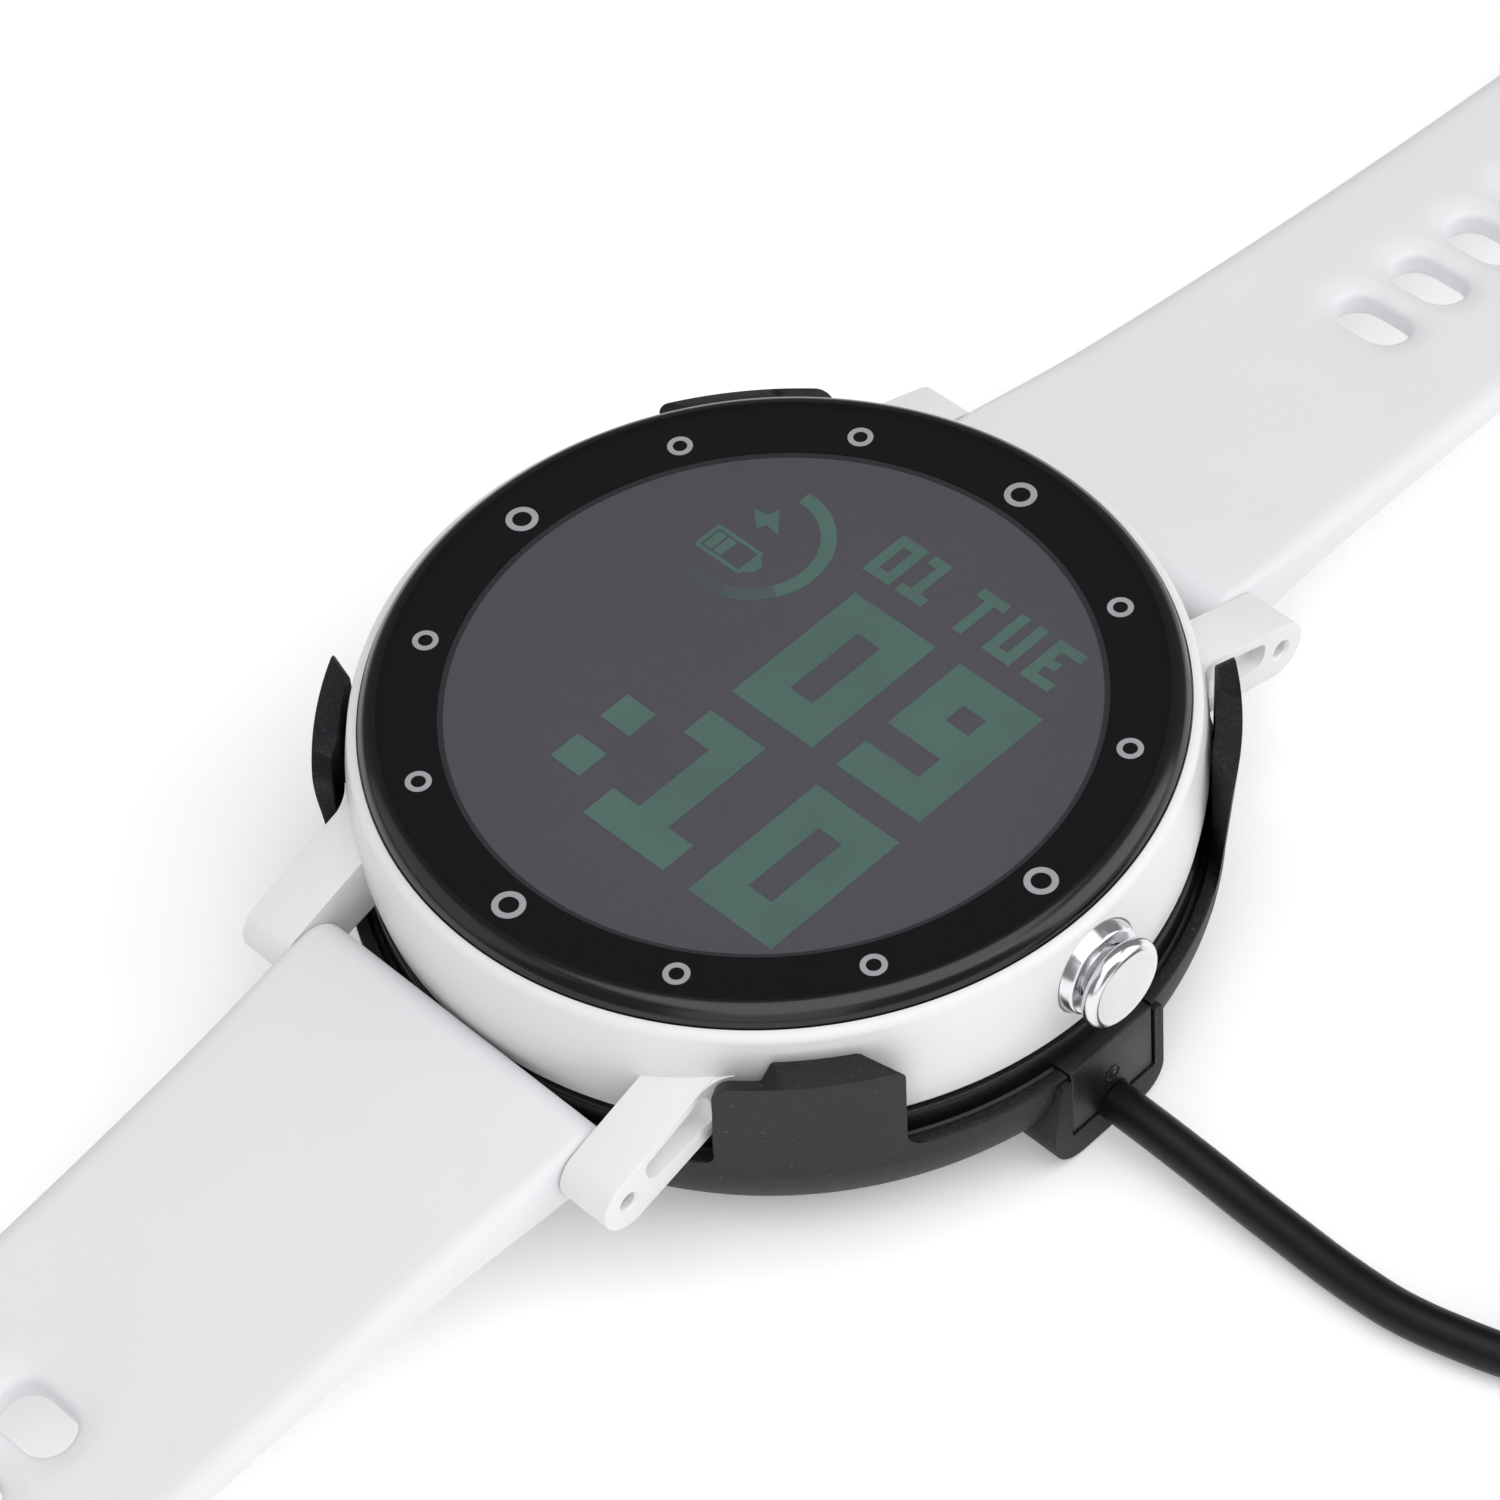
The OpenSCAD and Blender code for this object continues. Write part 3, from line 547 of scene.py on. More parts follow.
def make_tie():
    """A strap of woven tape round the coil, its end folded back on the top."""
    bm = bmesh.new()
    middle = COIL_AT[1] + COIL_MEAN
    inside = COIL_PITCH + CORD_R + 0.4
    top = 2 * CORD_R + (COIL_LAYERS - 1) * COIL_PITCH + 0.1
    loops = [box_outline(middle - inside - 0.45, 0.03, middle + inside + 0.45, top + 0.45, 1.7, 8),
             box_outline(middle - inside, 0.4, middle + inside, top, 1.3, 8)]
    plate(bm, loops, COIL_AT[0] - 3, COIL_AT[0] + 3, SIDEWAYS)
    end = bmesh.new()
    fold = box_outline(middle - 2.2, top + 0.4, middle + inside - 1.2, top + 0.85, 0.2)
    plate(end, [fold], COIL_AT[0] - 2.9, COIL_AT[0] + 2.9, SIDEWAYS)
    bm = combine(bm, end, "UNION")
    soften(bm, 0.12, 2, 60)
    return piece("cable_tie", bm, "cradle", "cable_black", looks=["tie_fabric"])


cable, cable_length = make_cable()
plug = make_plug() + [make_tie()]

# ---- Watch case and lugs ----

CASE_R = 22.3
BAR_Y = 24.1
BAR_Z = 8.8
LUG_IN = 10.15
LUG_OUT = 13.34
PIN_R = 0.5
BUTTON_Z = 12.05


def case_profile():
    return (
        [(17.6, 8.0)]
        + arc(CASE_R - 1.1, 8.77, 0.77, -90, 0, 8)
        + arc(8.3, 11.8, 14.0, -12.5, 12.5, 20)
        + arc(CASE_R - 0.9, 14.83, 0.57, 0, 90, 8)
        + [(21.4, 15.4), (21.4, 14.75), (18.1, 14.75), (18.1, 14.1), (19.7, 14.1), (19.7, 8.9), (17.6, 8.9)]
    )


def lug():
    """One lug at the positive X and Y corner, with its pin hole and the pocket in its outer face."""
    bm = bmesh.new()
    side = [(17.2, 13.0)] + arc(24.05, BAR_Z, 1.7, 72, -102, 14) + [(17.2, 9.0)]
    pocket = rounded([(22.9, 10.35, 0.5), (22.65, 8.95, 0.6), (18.3, 9.75, 0.3), (18.4, 12.1, 0.5)], 5)
    plate(bm, [side], LUG_IN, LUG_OUT, SIDEWAYS)
    soften(bm, 0.32, 4)
    fillet = bmesh.new()
    hollow = arc(15.54, 18.94, 2.2, 180, 230.5, 10)
    plate(fillet, [hollow + [(13.8, 16.6), (12.8, 16.6), (12.8, 18.94)]], 9.3, 12.9)
    for v in fillet.verts:
        if v.co.z > 12:
            v.co.z = 12.93 - 0.35 * (v.co.y - 17.2)
    bm = combine(bm, fillet, "UNION")
    cutter = bmesh.new()
    plate(cutter, [pocket], LUG_OUT - 0.9, LUG_OUT + 0.6, SIDEWAYS)
    soften(cutter, 0.3, 3)
    bm = combine(bm, cutter)
    cutter = bmesh.new()
    pin_hole = [(0, LUG_IN - 1), (PIN_R, LUG_IN - 1), (PIN_R, LUG_OUT - 0.15), (PIN_R + 0.25, LUG_OUT + 0.1),
                (0, LUG_OUT + 0.1)]
    lathe(cutter, pin_hole, 24, Matrix.Translation((0, BAR_Y, BAR_Z)) @ ALONG_X)
    return combine(bm, cutter)


def make_case():
    bm = bmesh.new()
    lathe(bm, case_profile(), 256)
    bm = drill(bm, (1.95, 18, 22.0, 0, BUTTON_Z), (2.76, 21.9, 24, 0, BUTTON_Z))
    merge_in_corners(bm, lug())
    piece("case", bm, "watch", "case_white", ["case_body"])


make_case()

# ---- Lens, dial print and display ----

LENS_R = 21.33
LENS_TOP = 16.4
LENS_ROUND = 1.1
PRINT_Z = 15.80
DISPLAY_R = 17.2
MARKER_R = 18.6


def make_lens():
    bm = bmesh.new()
    under = PRINT_Z + 0.03
    profile = (
        [(0, LENS_TOP), (10, LENS_TOP), (19.5, LENS_TOP), (20.1, LENS_TOP)]
        + arc(LENS_R - LENS_ROUND, LENS_TOP - LENS_ROUND, LENS_ROUND, 90, 5, 28)
        + [(LENS_R, 15.32), (20.95, 15.32), (20.95, under), (0, under)]
    )

    def pick(r, z):
        """The glass on top, its dark edge, and its clear underside."""
        if r > 20.3 or z < 15.5:
            return 1
        return 2 if z < LENS_TOP - 0.5 else 0

    lathe(bm, profile, 256, material=pick)
    clear = Nodes("glass_under")
    clear.finish(clear.add("BsdfTransparent", {"Color": (1, 1, 1, 1)}))
    piece("lens_glass", bm, "watch", "lens_glass", ["lens"],
          looks=["lens_glass", "glass_edge", "glass_under"])


def make_dial():
    bm = bmesh.new()
    lathe(bm, [(DISPLAY_R, PRINT_Z - 0.1), (20.9, PRINT_Z - 0.1), (20.9, PRINT_Z), (DISPLAY_R, PRINT_Z)], 256)
    piece("dial_border", bm, "watch", "lens_glass", looks=["dial_black"])
    bm = bmesh.new()
    low, high = PRINT_Z + 0.002, PRINT_Z + 0.012
    for hour in range(12):
        angle = math.radians(30 * hour)
        radius, stroke = (0.875, 0.19) if hour % 3 == 0 else (0.69, 0.165)
        inside = radius - 2 * stroke + 0.03
        at = Matrix.Translation((MARKER_R * math.cos(angle), MARKER_R * math.sin(angle), 0))
        lathe(bm, [(inside, low), (radius, low), (radius, high), (inside, high)], 64, at)
    piece("hour_rings", bm, "watch", "lens_glass", looks=["marker_silver"])
    bm = bmesh.new()
    rim, face = PRINT_Z - 0.12, PRINT_Z - 0.16
    lathe(bm, [(0, 14.16), (17.9, 14.16), (17.9, rim), (16.9, rim), (16.9, face), (0, face)], 192,
          material=lambda r, z: 0 if z < PRINT_Z - 0.15 and r < 17 else 1)
    piece("display_face", bm, "watch", "display", ["display_panel"], looks=["display", "display_edge"])


INK_Z = (PRINT_Z - 0.155, PRINT_Z - 0.145)


def thicken(bm):
    """Joins the cells of flat figures and gives them a thickness."""
    bmesh.ops.remove_doubles(bm, verts=bm.verts, dist=0.01)
    grown = bmesh.ops.extrude_face_region(bm, geom=bm.faces[:])
    down = [v for v in grown["geom"] if isinstance(v, bmesh.types.BMVert)]
    bmesh.ops.translate(bm, vec=(0, 0, INK_Z[0] - INK_Z[1]), verts=down)


FIGURES = {
    "0": ["###", "# #", "# #", "# #", "###"],
    "1": ["## ", " # ", " # ", " # ", "###"],
    "9": ["###", "# #", "###", "  #", "###"],
    "T": ["###", " # ", " # ", " # ", " # "],
    "U": ["# #", "# #", "# #", "# #", "###"],
    "E": ["###", "#  ", "## ", "#  ", "###"],
}


def figure(bm, rows, x, top, columns, lines):
    """A block figure whose column widths and line heights are given."""
    y = top
    for row, height in zip(rows, lines):
        left = x
        for mark, width in zip(row, columns):
            if mark == "#":
                corners = [(left, y - height), (left + width, y - height), (left + width, y), (left, y)]
                bm.faces.new([bm.verts.new((a, b, INK_Z[1])) for a, b in corners])
            left += width
        y -= height


def make_figures():
    bm = bmesh.new()
    wide, gap = 2.08, 1.6
    tall = (1.98, 1.33, 2.05, 1.6, 2.14)
    columns = (wide, gap, wide)
    top_line, low_line = 7.92, -2.78
    figure(bm, FIGURES["0"], -1.78, top_line, columns, tall)
    figure(bm, FIGURES["9"], 5.67, top_line, columns, tall)
    figure(bm, FIGURES["1"], -1.68, low_line, (1.86, 2.08, 1.78), tall)
    figure(bm, FIGURES["0"], 5.84, low_line, columns, tall)
    for y in (-4.86, -8.4):
        figure(bm, ["#"], -5.65, y, (2.1,), (1.94,))
    thicken(bm)
    piece("time_figures", bm, "watch", "display", looks=["segment_green"])

    bm = bmesh.new()
    stroke = 0.62
    top = 12.55
    lines = (0.64, 0.62, 0.62, 0.62, 0.64)
    figure(bm, FIGURES["0"], -2.72, top, (stroke, 0.62, stroke), lines)
    figure(bm, FIGURES["1"], -0.42, top, (0.62, stroke, 0.62), lines)
    for x, letter in ((3.04, "T"), (5.72, "U"), (8.4, "E")):
        figure(bm, FIGURES[letter], x, top, (0.65, stroke, 0.65), lines)
    thicken(bm)
    piece("date_figures", bm, "watch", "display", looks=["segment_green"])


ARC_AT = (-8.35, 7.15)
ARC_R = (3.45, 4.3)


def make_icons():
    """Charging icons: a cell with two bars, a bolt, and part of a ring that fades as it turns."""
    bm = bmesh.new()
    cell = [box_outline(-10.6, 4.83, -7.25, 6.75, 0.2), box_outline(-10.33, 5.08, -7.5, 6.5, 0.06)]
    plate(bm, cell, *INK_Z)
    for x in (-10.22, -9.5):
        plate(bm, [[(x, 5.18), (x + 0.58, 5.18), (x + 0.58, 6.38), (x, 6.38)]], *INK_Z)
    plate(bm, [[(-7.25, 5.1), (-6.75, 5.5), (-6.75, 6.08), (-7.25, 6.48)]], *INK_Z)
    bolt = [(-10.05, 8.75), (-9.09, 8.87), (-8.92, 9.55), (-7.7, 8.2), (-8.66, 8.33), (-8.89, 7.8)]
    plate(bm, [bolt], *INK_Z)
    piece("charge_icon", bm, "watch", "display", looks=["segment_green"])
    bm = bmesh.new()
    for k, (start, end) in enumerate(((93, -30), (-30, -70), (-70, -110))):
        count = int(abs(end - start) / 4)
        inner = arc(*ARC_AT, ARC_R[0], start, end, count)
        outer = arc(*ARC_AT, ARC_R[1], end, start, count)
        plate(bm, [inner + outer], *INK_Z, material=k)
    piece("charge_ring", bm, "watch", "display", looks=["segment_green", "segment_dim", "segment_faint"])


make_lens()
make_dial()
make_figures()
make_icons()

# ---- Button ----

ON_BUTTON_AXIS = Matrix.Translation((0, 0, BUTTON_Z)) @ ALONG_X
COLLAR_FRONT = 22.76
HEAD_BACK = 23.28
HEAD_FACE = 24.24
HEAD_R = 2.55


def make_button():
    bm = bmesh.new()
    ring = rounded([(0.95, 20.4, 0), (1.9, 20.4, 0.1), (1.9, 21.9, 0), (2.72, 21.9, 0), (2.62, 22.25, 0.35),
                    (2.46, COLLAR_FRONT, 0.2), (1.75, COLLAR_FRONT, 0.12), (1.55, 22.5, 0.1), (1.55, 20.9, 0),
                    (0.95, 20.9, 0)], 8)
    lathe(bm, ring, 128, ON_BUTTON_AXIS)
    piece("button_ring", bm, "watch", "button_chrome", ["button_collar"])
    bm = bmesh.new()
    head = rounded([(0, 17.5, 0), (0.9, 17.5, 0.1), (0.9, 22.35, 0), (1.5, 22.35, 0), (1.5, HEAD_BACK, 0.1),
                    (HEAD_R, HEAD_BACK, 0.34), (HEAD_R, HEAD_FACE, 0.55), (0, HEAD_FACE, 0)], 8)
    lathe(bm, head, 128, ON_BUTTON_AXIS,
          material=lambda r, z: 1 if z > HEAD_FACE - 0.02 and r < HEAD_R - 0.5 else 0)
    piece("button_cap", bm, "button", "button_chrome", ["button_pusher"],
          looks=["button_chrome", "button_satin"])


make_button()

# ---- Straps ----

TOP_12 = [(24.1, 10.75), (44, 7.4), (72, 5.6), (104, 4.0)]
TOP_6 = [(24.1, 10.75), (50, 6.6), (90, 3.0), (128, 2.1)]
SLOT = (2.35, 1.5)  # half length across the strap, half width along it
SLOT_PITCH = 4.9
BUCKLE_Y = 104
BUCKLE_Z = 2.0
TIP_FLAT = 131
TIP_END = 139
STRAP_T = 2.1
STRAP_HALF = 9
BAR_BORE_R = 0.8
UPPER_LIP = 0.42  # rounding of the slots' edges
LOWER_LIP = 0.6
BARREL_STEPS = 14
# Each slot has a cell of its own in the mesh: its half width, and its steps across and along the strap.
PATCH_HALF = 4.5
ACROSS = 16
ALONG = 8


def quarter_round(distance, size):
    """How far a quarter circle of this size has dropped, at a distance from where it ends."""
    t = min(max(1 - distance / size, 0.0), 1.0)
    return size * (1 - math.sqrt(1 - t * t))


def half_barrel(bm, upper, lower, y, z, sweep):
    """Half barrel round a bar at (y, z) that joins the two faces' last rows, and its two end faces."""
    rows = [upper]
    for k in range(1, BARREL_STEPS):
        angle = math.radians(90 + sweep * k / BARREL_STEPS)
        row = []
        for v in upper:
            radius = v.co.z - z
            row.append(bm.verts.new((v.co.x, y + radius * math.cos(angle), z + radius * math.sin(angle))))
        rows.append(row)
    rows.append(lower)
    skin(bm, rows, closed_rows=False)
    for j in (0, -1):
        bm.faces.new([row[j] for row in rows])


class Strap:
    """One strap piece, laid out towards +Y: its sizes by y, then its mesh."""

    def __init__(self, top, first_slot, slots, end):
        self.top_line = [bezier(top, i / 200) for i in range(201)]
        self.slots = [first_slot + SLOT_PITCH * i for i in range(slots)]
        self.end = end

    def top(self, y):
        line = self.top_line
        for a, b in zip(line, line[1:]):
            if y <= b[0]:
                return a[1] + (b[1] - a[1]) * (y - a[0]) / (b[0] - a[0])
        return line[-1][1]

    def thick(self, y):
        base = STRAP_T + 1.8 * max(0.0, 1 - (y - BAR_Y) / 24) ** 2
        if self.end == BUCKLE_Y:
            base += (2 * BUCKLE_Z - STRAP_T) * smooth_step((y - 99) / (BUCKLE_Y - 99))
        return base

    def half(self, y):
        wide = STRAP_HALF + 1.05 * max(0.0, 1 - max(y - 26, 0) / 44) ** 1.5
        if self.end == TIP_END and y > TIP_FLAT:
            wide *= math.sqrt(max(1 - ((y - TIP_FLAT) / (TIP_END - TIP_FLAT)) ** 2, 0.0))
        return wide

    def edge(self, y):
        """Width and height of the rounded edge."""
        grow = smooth_step((y - 24) / 10)
        return 0.5 + 0.75 * grow, 0.5 + 0.32 * grow

    def edge_drop(self, x, y):
        wide, high = self.edge(y)
        inside = self.half(y) - abs(x)
        if self.end == TIP_END and y > TIP_FLAT:
            ratio = math.hypot(x / STRAP_HALF, (y - TIP_FLAT) / (TIP_END - TIP_FLAT))
            inside = min(inside, (1 - ratio) * 8)
        t = min(max(1 - inside / wide, 0.0), 1.0)
        return high * (1 - math.sqrt(1 - t * t))

    def slot_distance(self, x, y):
        near = min(self.slots, key=lambda s: abs(s - y))
        long, half_w = SLOT
        return math.hypot(max(abs(x) - (long - half_w), 0.0), y - near) - half_w

    def upper(self, x, y):
        d = self.slot_distance(x, y)
        drop = quarter_round(d, UPPER_LIP) + 0.26 * (1 - smooth_step(d / 1.5))
        return self.top(y) - self.edge_drop(x, y) - drop

    def lower(self, x, y):
        rise = quarter_round(self.slot_distance(x, y), LOWER_LIP)
        return self.top(y) - self.thick(y) + self.edge_drop(x, y) + rise

    def stations(self):
        """Places along the strap: even steps, and eight to each slot's own cell."""
        first = self.slots[0] - SLOT_PITCH / 2
        last = self.slots[-1] + SLOT_PITCH / 2
        steps = 22
        ys = [BAR_Y + (first - BAR_Y) * i / steps for i in range(steps)]
        cells = ALONG * len(self.slots)
        ys += [first + (last - first) * i / cells for i in range(cells + 1)]
        stop = TIP_FLAT if self.end == TIP_END else BUCKLE_Y
        more = max(int((stop - last) / 1.1), 2)
        ys += [last + (stop - last) * (i + 1) / more for i in range(more)]
        if self.end == TIP_END:
            turns = (8, 16, 24, 32, 40, 48, 56, 63, 70, 76, 81, 85, 88)
            ys += [TIP_FLAT + (TIP_END - TIP_FLAT) * math.sin(math.radians(a)) for a in turns]
        return ys

    def columns(self, y):
        """Places across the strap: a rounded edge, a plain band, and the slots' band."""
        half = self.half(y)
        wide = self.edge(y)[0] * min(1.0, half / 2)
        rim = [half - wide * (1 - math.cos(math.radians(a))) for a in (0, 15, 30, 45, 60, 75, 90)]
        inner = min(PATCH_HALF, rim[-1] * 0.6)
        band = [rim[-1] + (inner - rim[-1]) * k / 4 for k in (1, 2, 3)]
        right = rim + band
        middle = [inner * (1 - 2 * i / ACROSS) for i in range(ACROSS + 1)]
        return [-x for x in right + middle] + right[::-1]

    def mesh(self):
        bm = bmesh.new()
        ys = self.stations()
        side = len(self.columns(50)) // 2 - ACROSS // 2
        first = self.slots[0] - SLOT_PITCH / 2
        start = min(range(len(ys)), key=lambda i: abs(ys[i] - first))
        in_cells = range(start, start + ALONG * len(self.slots))
        sheets = []
        for height in (self.upper, self.lower):
            sheets.append([[bm.verts.new((x, y, height(x, y))) for x in self.columns(y)] for y in ys])
        for sheet in sheets:
            for i in range(len(ys) - 1):
                for j in range(len(sheet[i]) - 1):
                    if i in in_cells and side <= j < side + ACROSS:
                        continue
                    bm.faces.new((sheet[i][j], sheet[i][j + 1], sheet[i + 1][j + 1], sheet[i + 1][j]))
        for number in range(len(self.slots)):
            self.cell(bm, sheets, start + ALONG * number, side, self.slots[number])
        upper, lower = sheets
        for j in (0, -1):
            skin(bm, [[row[j] for row in upper], [row[j] for row in lower]], closed_rows=False)
        half_barrel(bm, upper[0], lower[0], BAR_Y, BAR_Z, 180)
        if self.end == TIP_END:
            skin(bm, [upper[-1], lower[-1]], closed_rows=False)
        else:
            half_barrel(bm, upper[-1], lower[-1], BUCKLE_Y, BUCKLE_Z, -180)
        bmesh.ops.recalc_face_normals(bm, faces=bm.faces)
        return bm

    def cell(self, bm, sheets, i0, j0, middle):
        """One slot's cell: loops from the slot's wall out to the cell's border, on both faces."""
        walls = []
        for sheet, height in zip(sheets, (self.upper, self.lower)):
            border = [sheet[i0][j0 + k] for k in range(ACROSS)]
            border += [sheet[i0 + k][j0 + ACROSS] for k in range(ALONG)]
            border += [sheet[i0 + ALONG][j0 + ACROSS - k] for k in range(ACROSS)]
            border += [sheet[i0 + ALONG - k][j0] for k in range(ALONG)]
            loops = [border]
            for share in (0.8, 0.6, 0.42, 0.28, 0.18, 0.1, 0.045, 0.012, 0.0):
                loop = []
                for v in border:
                    x, y = self.on_slot(v.co.x, v.co.y - middle)
                    x, y = x + (v.co.x - x) * share, y + (v.co.y - middle - y) * share + middle
                    loop.append(bm.verts.new((x, y, height(x, y))))
                loops.append(loop)
            skin(bm, loops)
            walls.append(loops[-1])
        skin(bm, walls)

    @staticmethod
    def on_slot(x, y):
        """Where the ray from the slot's middle through (x, y) meets the slot's outline."""
        long, half_w = SLOT
        flat = long - half_w
        size = math.hypot(x, y)
        x, y = x / size, y / size
        if abs(y) > 1e-9 and abs(x) * half_w / abs(y) <= flat:
            k = half_w / abs(y)
        else:
            along = flat * abs(x)
            k = along + math.sqrt(along * along - flat * flat + half_w * half_w)
        return x * k, y * k


def make_straps():
    near_bore = (BAR_BORE_R, -12, 12, BAR_Y, BAR_Z)
    far_bore = (BAR_BORE_R, -12, 12, BUCKLE_Y, BUCKLE_Z)
    upper = drill(Strap(TOP_12, 47.3, 7, BUCKLE_Y).mesh(), near_bore, far_bore)
    notch = bmesh.new()
    plate(notch, [box_outline(-2.2, BUCKLE_Y - 4, 2.2, BUCKLE_Y + 4, 0.6)], -1, 8)
    piece("strap_12_silicone", combine(upper, notch), "strap_upper", "strap_silicone", ["strap_12"])
    lower = drill(Strap(TOP_6, 51.3, 16, TIP_END).mesh(), near_bore)
    bmesh.ops.scale(lower, vec=(1, -1, 1), verts=lower.verts)
    piece("strap_6_silicone", lower, "strap_lower", "strap_silicone", ["strap_6"])


make_straps()

# ---- Keepers and buckle ----

FAR_SLOPE = 0.054
KEEPERS = (("keeper_fixed_loop", 94, 0.1, "strap_upper", "keeper_fixed"),
           ("keeper_free_loop", 84.5, 0.2, "keeper", "keeper_free"))


def make_keepers():
    for name, y, gap, body, node in KEEPERS:
        top = 2 * BUCKLE_Z + (BUCKLE_Y - y) * FAR_SLOPE
        low, high = top - STRAP_T - gap, top + 2.7
        half, wall = STRAP_HALF + gap, 0.9
        tilt = Matrix.Rotation(math.pi / 2 - math.atan(FAR_SLOPE), 4, "X")
        at = Matrix.Translation((0, y, (low + high) / 2)) @ tilt
        tall = (high - low) / 2
        bm = bmesh.new()
        plate(bm, [box_outline(-half - wall, -tall - wall, half + wall, tall + wall, 1.5, 8),
                   box_outline(-half, -tall, half, tall, 2 * gap, 4)], -2.5, 2.5, at)
        soften(bm, 0.28, 4, 50)
        piece(name, bm, body, "strap_silicone", [node])


FRAME_LEN = 12
FRAME_ROD = 1.2
AT_BUCKLE = (Matrix.Translation((0, BUCKLE_Y, BUCKLE_Z))
             @ Matrix.Rotation(-math.asin((BUCKLE_Z - FRAME_ROD) / FRAME_LEN), 4, "X"))


def tube(bm, path, wide, high, sides=24):
    """A rounded bar along a flat path, wide across and high along Z."""
    rings = []
    for i, p in enumerate(path):
        before, after = path[max(i - 1, 0)], path[min(i + 1, len(path) - 1)]
        along = (Vector(after) - Vector(before)).normalized()
        across = Vector((along.y, -along.x, 0))
        ring = []
        for k in range(sides):
            a = 2 * math.pi * k / sides
            c, s = (math.copysign(abs(v) ** 0.8, v) for v in (math.cos(a), math.sin(a)))
            ring.append(bm.verts.new(Vector(p) + (Vector((0, 0, s * high)) + across * c * wide)))
        rings.append(ring)
    skin(bm, rings)
    for ring in (rings[0], rings[-1]):
        bm.faces.new(ring)


def make_buckle():
    mid, bend, prong_half = 10.55, 2.2, 1.88
    path = [(mid, 0, 0), (mid, 3, 0), (mid, 7, 0)]
    path += [(x, y, 0) for x, y in arc(mid - bend, FRAME_LEN - bend, bend, 0, 90, 8)]
    path += [(x, FRAME_LEN, 0) for x in (4, 0, -4)]
    path += [(x, y, 0) for x, y in arc(bend - mid, FRAME_LEN - bend, bend, 90, 180, 8)]
    path += [(-mid, 7, 0), (-mid, 3, 0), (-mid, 0, 0)]
    bm = bmesh.new()
    tube(bm, path, 1.02, 1.15)
    for side in (-1, 1):
        ends = sorted((side * 9.52, side * 11.58))
        eye = bmesh.new()
        rod(eye, 1.7, ends[0], ends[1], 0, 0, 64, 0.25)
        bm = combine(bm, eye, "UNION")
    bm = drill(bm, (BAR_BORE_R, -13, 13, 0, 0))
    bm.transform(AT_BUCKLE)
    piece("buckle_frame_bar", bm, "buckle", "buckle_steel", ["buckle_frame"])

    side = [(0, 0.4), (0, 1.45), (1.2, 1.95), (6, 2.18), (11.4, 2.32), (12.75, 2.1), (12.85, 1.8),
            (11.6, 1.36), (6, 1.02), (2.2, 0.7)]
    bm = bmesh.new()
    plate(bm, [side], -prong_half, prong_half, SIDEWAYS)
    soften(bm, 0.28, 3, 40)
    eye = bmesh.new()
    rod(eye, 1.5, -prong_half, prong_half, 0, 0, 48, 0.2)
    bm = drill(combine(bm, eye, "UNION"), (BAR_BORE_R, -3, 3, 0, 0))
    bm.transform(AT_BUCKLE)
    piece("buckle_prong", bm, "tongue", "buckle_steel", ["buckle_tongue"])


make_keepers()
make_buckle()

# ---- Charging cradle ----

BASE_ROUND = 6.2
CRADLE_R = 23.1
RIM_Z = 6.8
BORE_R = 22.4
SEAT_Z = 4.6
BOSS_X = 23.2
BOSS_HALF = 3.75
BOSS_WIDE = 4.8  # where the outline's lower corner is, before it is rounded
BOSS_Z = (0.15, 6.45)
BLOCK_X = 23.12
BLOCK_HALF = 3.0
EXIT_Z = 2.1
# The clip arms' directions, in degrees about the axis, and their sizes
ARM_START = 30
ARM_STEP = 46.5
ARM_END = 53.9
ARM_LEAN = 0.9
ARM_SLANT = math.radians(4.2)
ARM_TOP = 13.85
ARM_INNER_R = 22.5
ARM_THINNED = 0.42


def shell_profile():
    centre = (CRADLE_R - BASE_ROUND, BASE_ROUND)
    outside = [(0, 0)] + arc(*centre, BASE_ROUND, -90, 0, 24)
    rim = rounded([(CRADLE_R, BASE_ROUND, 0), (CRADLE_R + 0.06, RIM_Z, 0.1), (BORE_R, RIM_Z, 0.12),
                   (BORE_R, SEAT_Z, 0)], 4)[1:]
    inside = [(21.4, SEAT_Z)] + arc(*centre, BASE_ROUND - 1.4, -22, -90, 14) + [(0, 1.4)]
    return outside + rim + inside


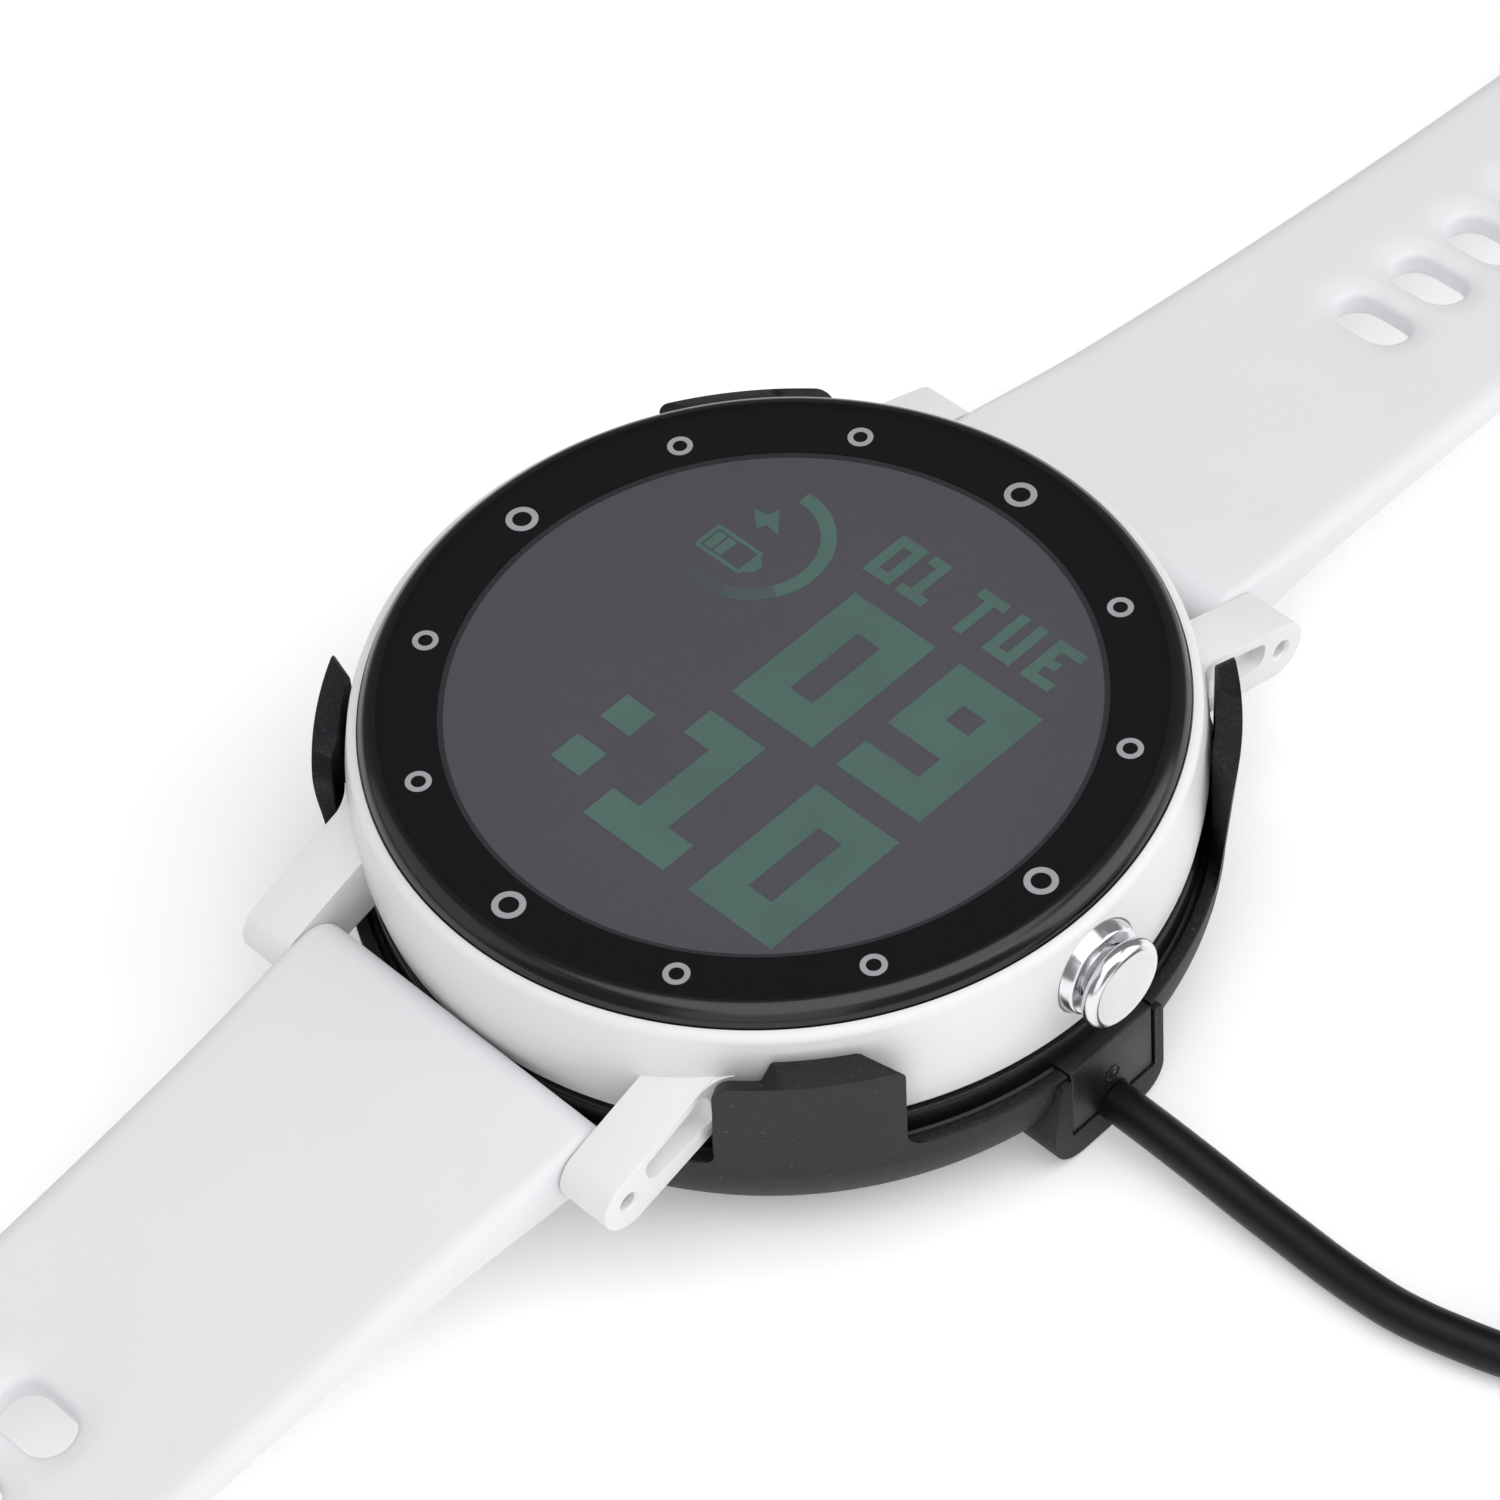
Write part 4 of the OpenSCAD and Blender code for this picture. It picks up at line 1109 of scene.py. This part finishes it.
def arm():
    """One clip arm: rows up its height, columns round the axis, with filleted feet and rounded corners."""
    bm = bmesh.new()
    foot, foot_lug, corner, corner_lug = 1.1, 0.6, 0.55, 1.0
    columns = 36
    heights = [5.0, 5.6, 6.2, 6.5, RIM_Z]
    heights += [RIM_Z + foot * (1 - math.cos(math.radians(a))) for a in (15, 30, 45, 60, 75, 90)]
    heights += [RIM_Z + foot + (ARM_TOP - corner_lug - RIM_Z - foot) * i / 6 for i in range(1, 6)]
    heights += [ARM_TOP - corner_lug * (1 - math.sin(math.radians(a))) for a in (0, 15, 30, 45, 60, 75, 90)]

    def spread(z, feet, top):
        """How far a side stands out at its foot, or in at its top corner."""
        if z < RIM_Z + feet:
            rise = max(z - RIM_Z, 0)
            return feet - math.sqrt(feet ** 2 - (feet - rise) ** 2)
        if z > ARM_TOP - top:
            return math.sqrt(max(top ** 2 - (z - ARM_TOP + top) ** 2, 0)) - top
        return 0

    def outer_radius(z):
        if z < BASE_ROUND:
            return CRADLE_R - BASE_ROUND + math.sqrt(BASE_ROUND ** 2 - (BASE_ROUND - z) ** 2) + 0.01
        return CRADLE_R + (z - BASE_ROUND) * 0.1 + 0.01

    grids = []
    for face in ("outer", "inner"):
        grid = []
        for z in heights:
            row = []
            for j in range(columns + 1):
                radius = outer_radius(z)
                start = math.radians(ARM_START) - spread(z, foot, corner) / radius
                if face == "inner":
                    start += ARM_SLANT
                lean = ARM_LEAN * smooth_step((z - RIM_Z) / (ARM_TOP - RIM_Z))
                end = math.radians(ARM_END - lean) + spread(z, foot_lug, corner_lug) / radius
                angle = start + (end - start) * (j / columns)
                step = smooth_step((math.degrees(angle) - ARM_STEP) / 1.8 + 0.5)
                height = z
                if face == "inner":
                    radius = ARM_INNER_R + ARM_THINNED * step
                    lift = 0.45 - 0.9 * step
                    height = z + lift * smooth_step((z - 8.5) / (ARM_TOP - 8.5))
                row.append(bm.verts.new((radius * math.cos(angle), radius * math.sin(angle), height)))
            grid.append(row)
        grids.append(grid)
    outer, inner = grids
    skin(bm, outer, closed_rows=False)
    skin(bm, inner, closed_rows=False)
    for j in (0, -1):
        skin(bm, [[row[j] for row in outer], [row[j] for row in inner]], closed_rows=False)
    for i in (0, -1):
        skin(bm, [outer[i], inner[i]], closed_rows=False)
    bmesh.ops.recalc_face_normals(bm, faces=bm.faces)
    soften(bm, 0.16, 3, 42)
    return bm


def make_shell():
    bm = bmesh.new()
    lathe(bm, shell_profile(), 256)
    boss = bmesh.new()
    low, high = BOSS_Z
    outline = rounded([(-BOSS_HALF, high, 0.3), (-BOSS_WIDE, low, 2.1), (BOSS_HALF, low, 1.7),
                       (BOSS_HALF, high, 0.3)], 8)
    plate(boss, [outline], 18, BOSS_X, SIDEWAYS)
    bore = bmesh.new()
    lathe(bore, [(0, SEAT_Z), (BORE_R, SEAT_Z), (BORE_R, 12), (0, 12)], 256)
    at_front = [e for e in boss.edges if all(abs(v.co.x - BOSS_X) < 1e-6 for v in e.verts)]
    soften(boss, 0.25, 4, edges=[e for e in at_front if e.calc_face_angle(0) > 0.5])
    bm = combine(bm, combine(boss, bore), "UNION")
    cuts = bmesh.new()
    plate(cuts, [box_outline(-BLOCK_HALF - 0.1, EXIT_Z - 0.1, BLOCK_HALF + 0.1, 12, 0.15)], 18, 26, SIDEWAYS)
    bm = drill(combine(bm, cuts), (CORD_R + 0.08, 17, 26, 0, EXIT_Z))
    screws = bmesh.new()
    hole = rounded([(0, -1, 0), (1.62, -1, 0), (1.5, 0.8, 0.1), (0.9, 0.8, 0), (0.9, 3, 0), (0, 3, 0)], 3)
    for a in (90, 210, 330):
        at = Matrix.Rotation(math.radians(a), 4, "Z") @ Matrix.Translation((13, 0, 0))
        lathe(screws, hole, 40, at)
    bm = combine(bm, screws)
    merge_in_corners(bm, arm())
    piece("cradle_body", bm, "cradle", "cradle_black", ["cradle_shell"])


def make_insert():
    bm = bmesh.new()
    profile = (
        [(0, 3.3), (17.5, 3.3), (20.5, 4.65)]
        + rounded([(22.34, 4.65, 0.05), (22.34, 6.35, 0.1), (22.0, 6.5, 0.1), (22.0, 7.9, 0.22),
                   (20.75, 7.9, 0.1)], 4)
        + arc(18.45, 6.6, 2.3, 0, -90, 10)
        + [(0, 4.3)]
    )
    lathe(bm, profile, 256)
    holes = bmesh.new()
    for i in range(4):
        lathe(holes, [(0, 2), (0.76, 2), (0.76, 4.2), (0.9, 4.4), (0, 4.4)], 32,
              Matrix.Translation((9, (i - 1.5) * 2.6, 0)))
    bm = combine(bm, holes)
    block = bmesh.new()
    crown = [(BLOCK_HALF * (1 - i / 5), RIM_Z + 0.16 * (1 - (1 - i / 5) ** 2)) for i in range(11)]
    plate(block, [[(-BLOCK_HALF, EXIT_Z), (BLOCK_HALF, EXIT_Z)] + crown], 20.9, BLOCK_X, SIDEWAYS)
    soften(block, 0.12, 3, 35)
    block = drill(block, (CORD_R + 0.05, 18, 25, 0, EXIT_Z))
    mark = Matrix.Translation((BLOCK_X, 0, 4.25)) @ ALONG_X
    gate = bmesh.new()
    lathe(gate, [(0.42, -0.2), (0.52, -0.2), (0.52, 0.03), (0.47, 0.05), (0.42, 0.03)], 40, mark)
    lathe(gate, [(0, -0.2), (0.2, -0.2), (0.2, 0.03), (0.12, 0.05), (0, 0.05)], 24, mark)
    merge_into(bm, block)
    merge_into(bm, gate)
    block.free()
    gate.free()
    piece("cradle_cup", bm, "cradle", "cradle_black", ["cradle_insert"], looks=["cradle_gloss"])


make_shell()
make_insert()

# ---- Floor and light ----


def make_stage():
    bpy.ops.mesh.primitive_plane_add(size=6, location=(0, 0, -0.00005))
    floor = bpy.context.object
    floor.name = "floor"
    surface("floor", (0.92, 0.92, 0.92), 0.9, vary=0.004, patch=3, grain=50, bump=0.0,
            Specular_IOR_Level=0.0, Emission_Color=(1, 1, 1, 1), Emission_Strength=0.22)
    floor.data.materials.append(MAT["floor"])
    world = bpy.data.worlds.new("studio")
    bpy.context.scene.world = world
    world.use_nodes = True
    sky = world.node_tree.nodes["Background"]
    sky.inputs["Color"].default_value = (0.96, 0.97, 1.0, 1)
    sky.inputs["Strength"].default_value = 0.22
    lamps = (
        # name, place in metres, size in metres, power in watts
        ("top", (0.22, -0.10, 0.80), 0.90, 4.9),
        ("left", (-0.60, -0.50, 0.50), 0.80, 1.3),
        ("right", (0.60, 0.55, 0.45), 0.80, 3.8),
        ("front", (0.50, -0.60, 0.35), 0.60, 1.1),
    )
    for name, at, size, power in lamps:
        data = bpy.data.lights.new(name, "AREA")
        data.size = size
        data.energy = power
        lamp = bpy.data.objects.new(name, data)
        bpy.context.scene.collection.objects.link(lamp)
        lamp.location = at
        lamp.rotation_euler = (Vector((0, 0, 0.01)) - Vector(at)).to_track_quat("-Z", "Y").to_euler()
    bpy.context.scene.view_settings.view_transform = "Standard"


make_stage()
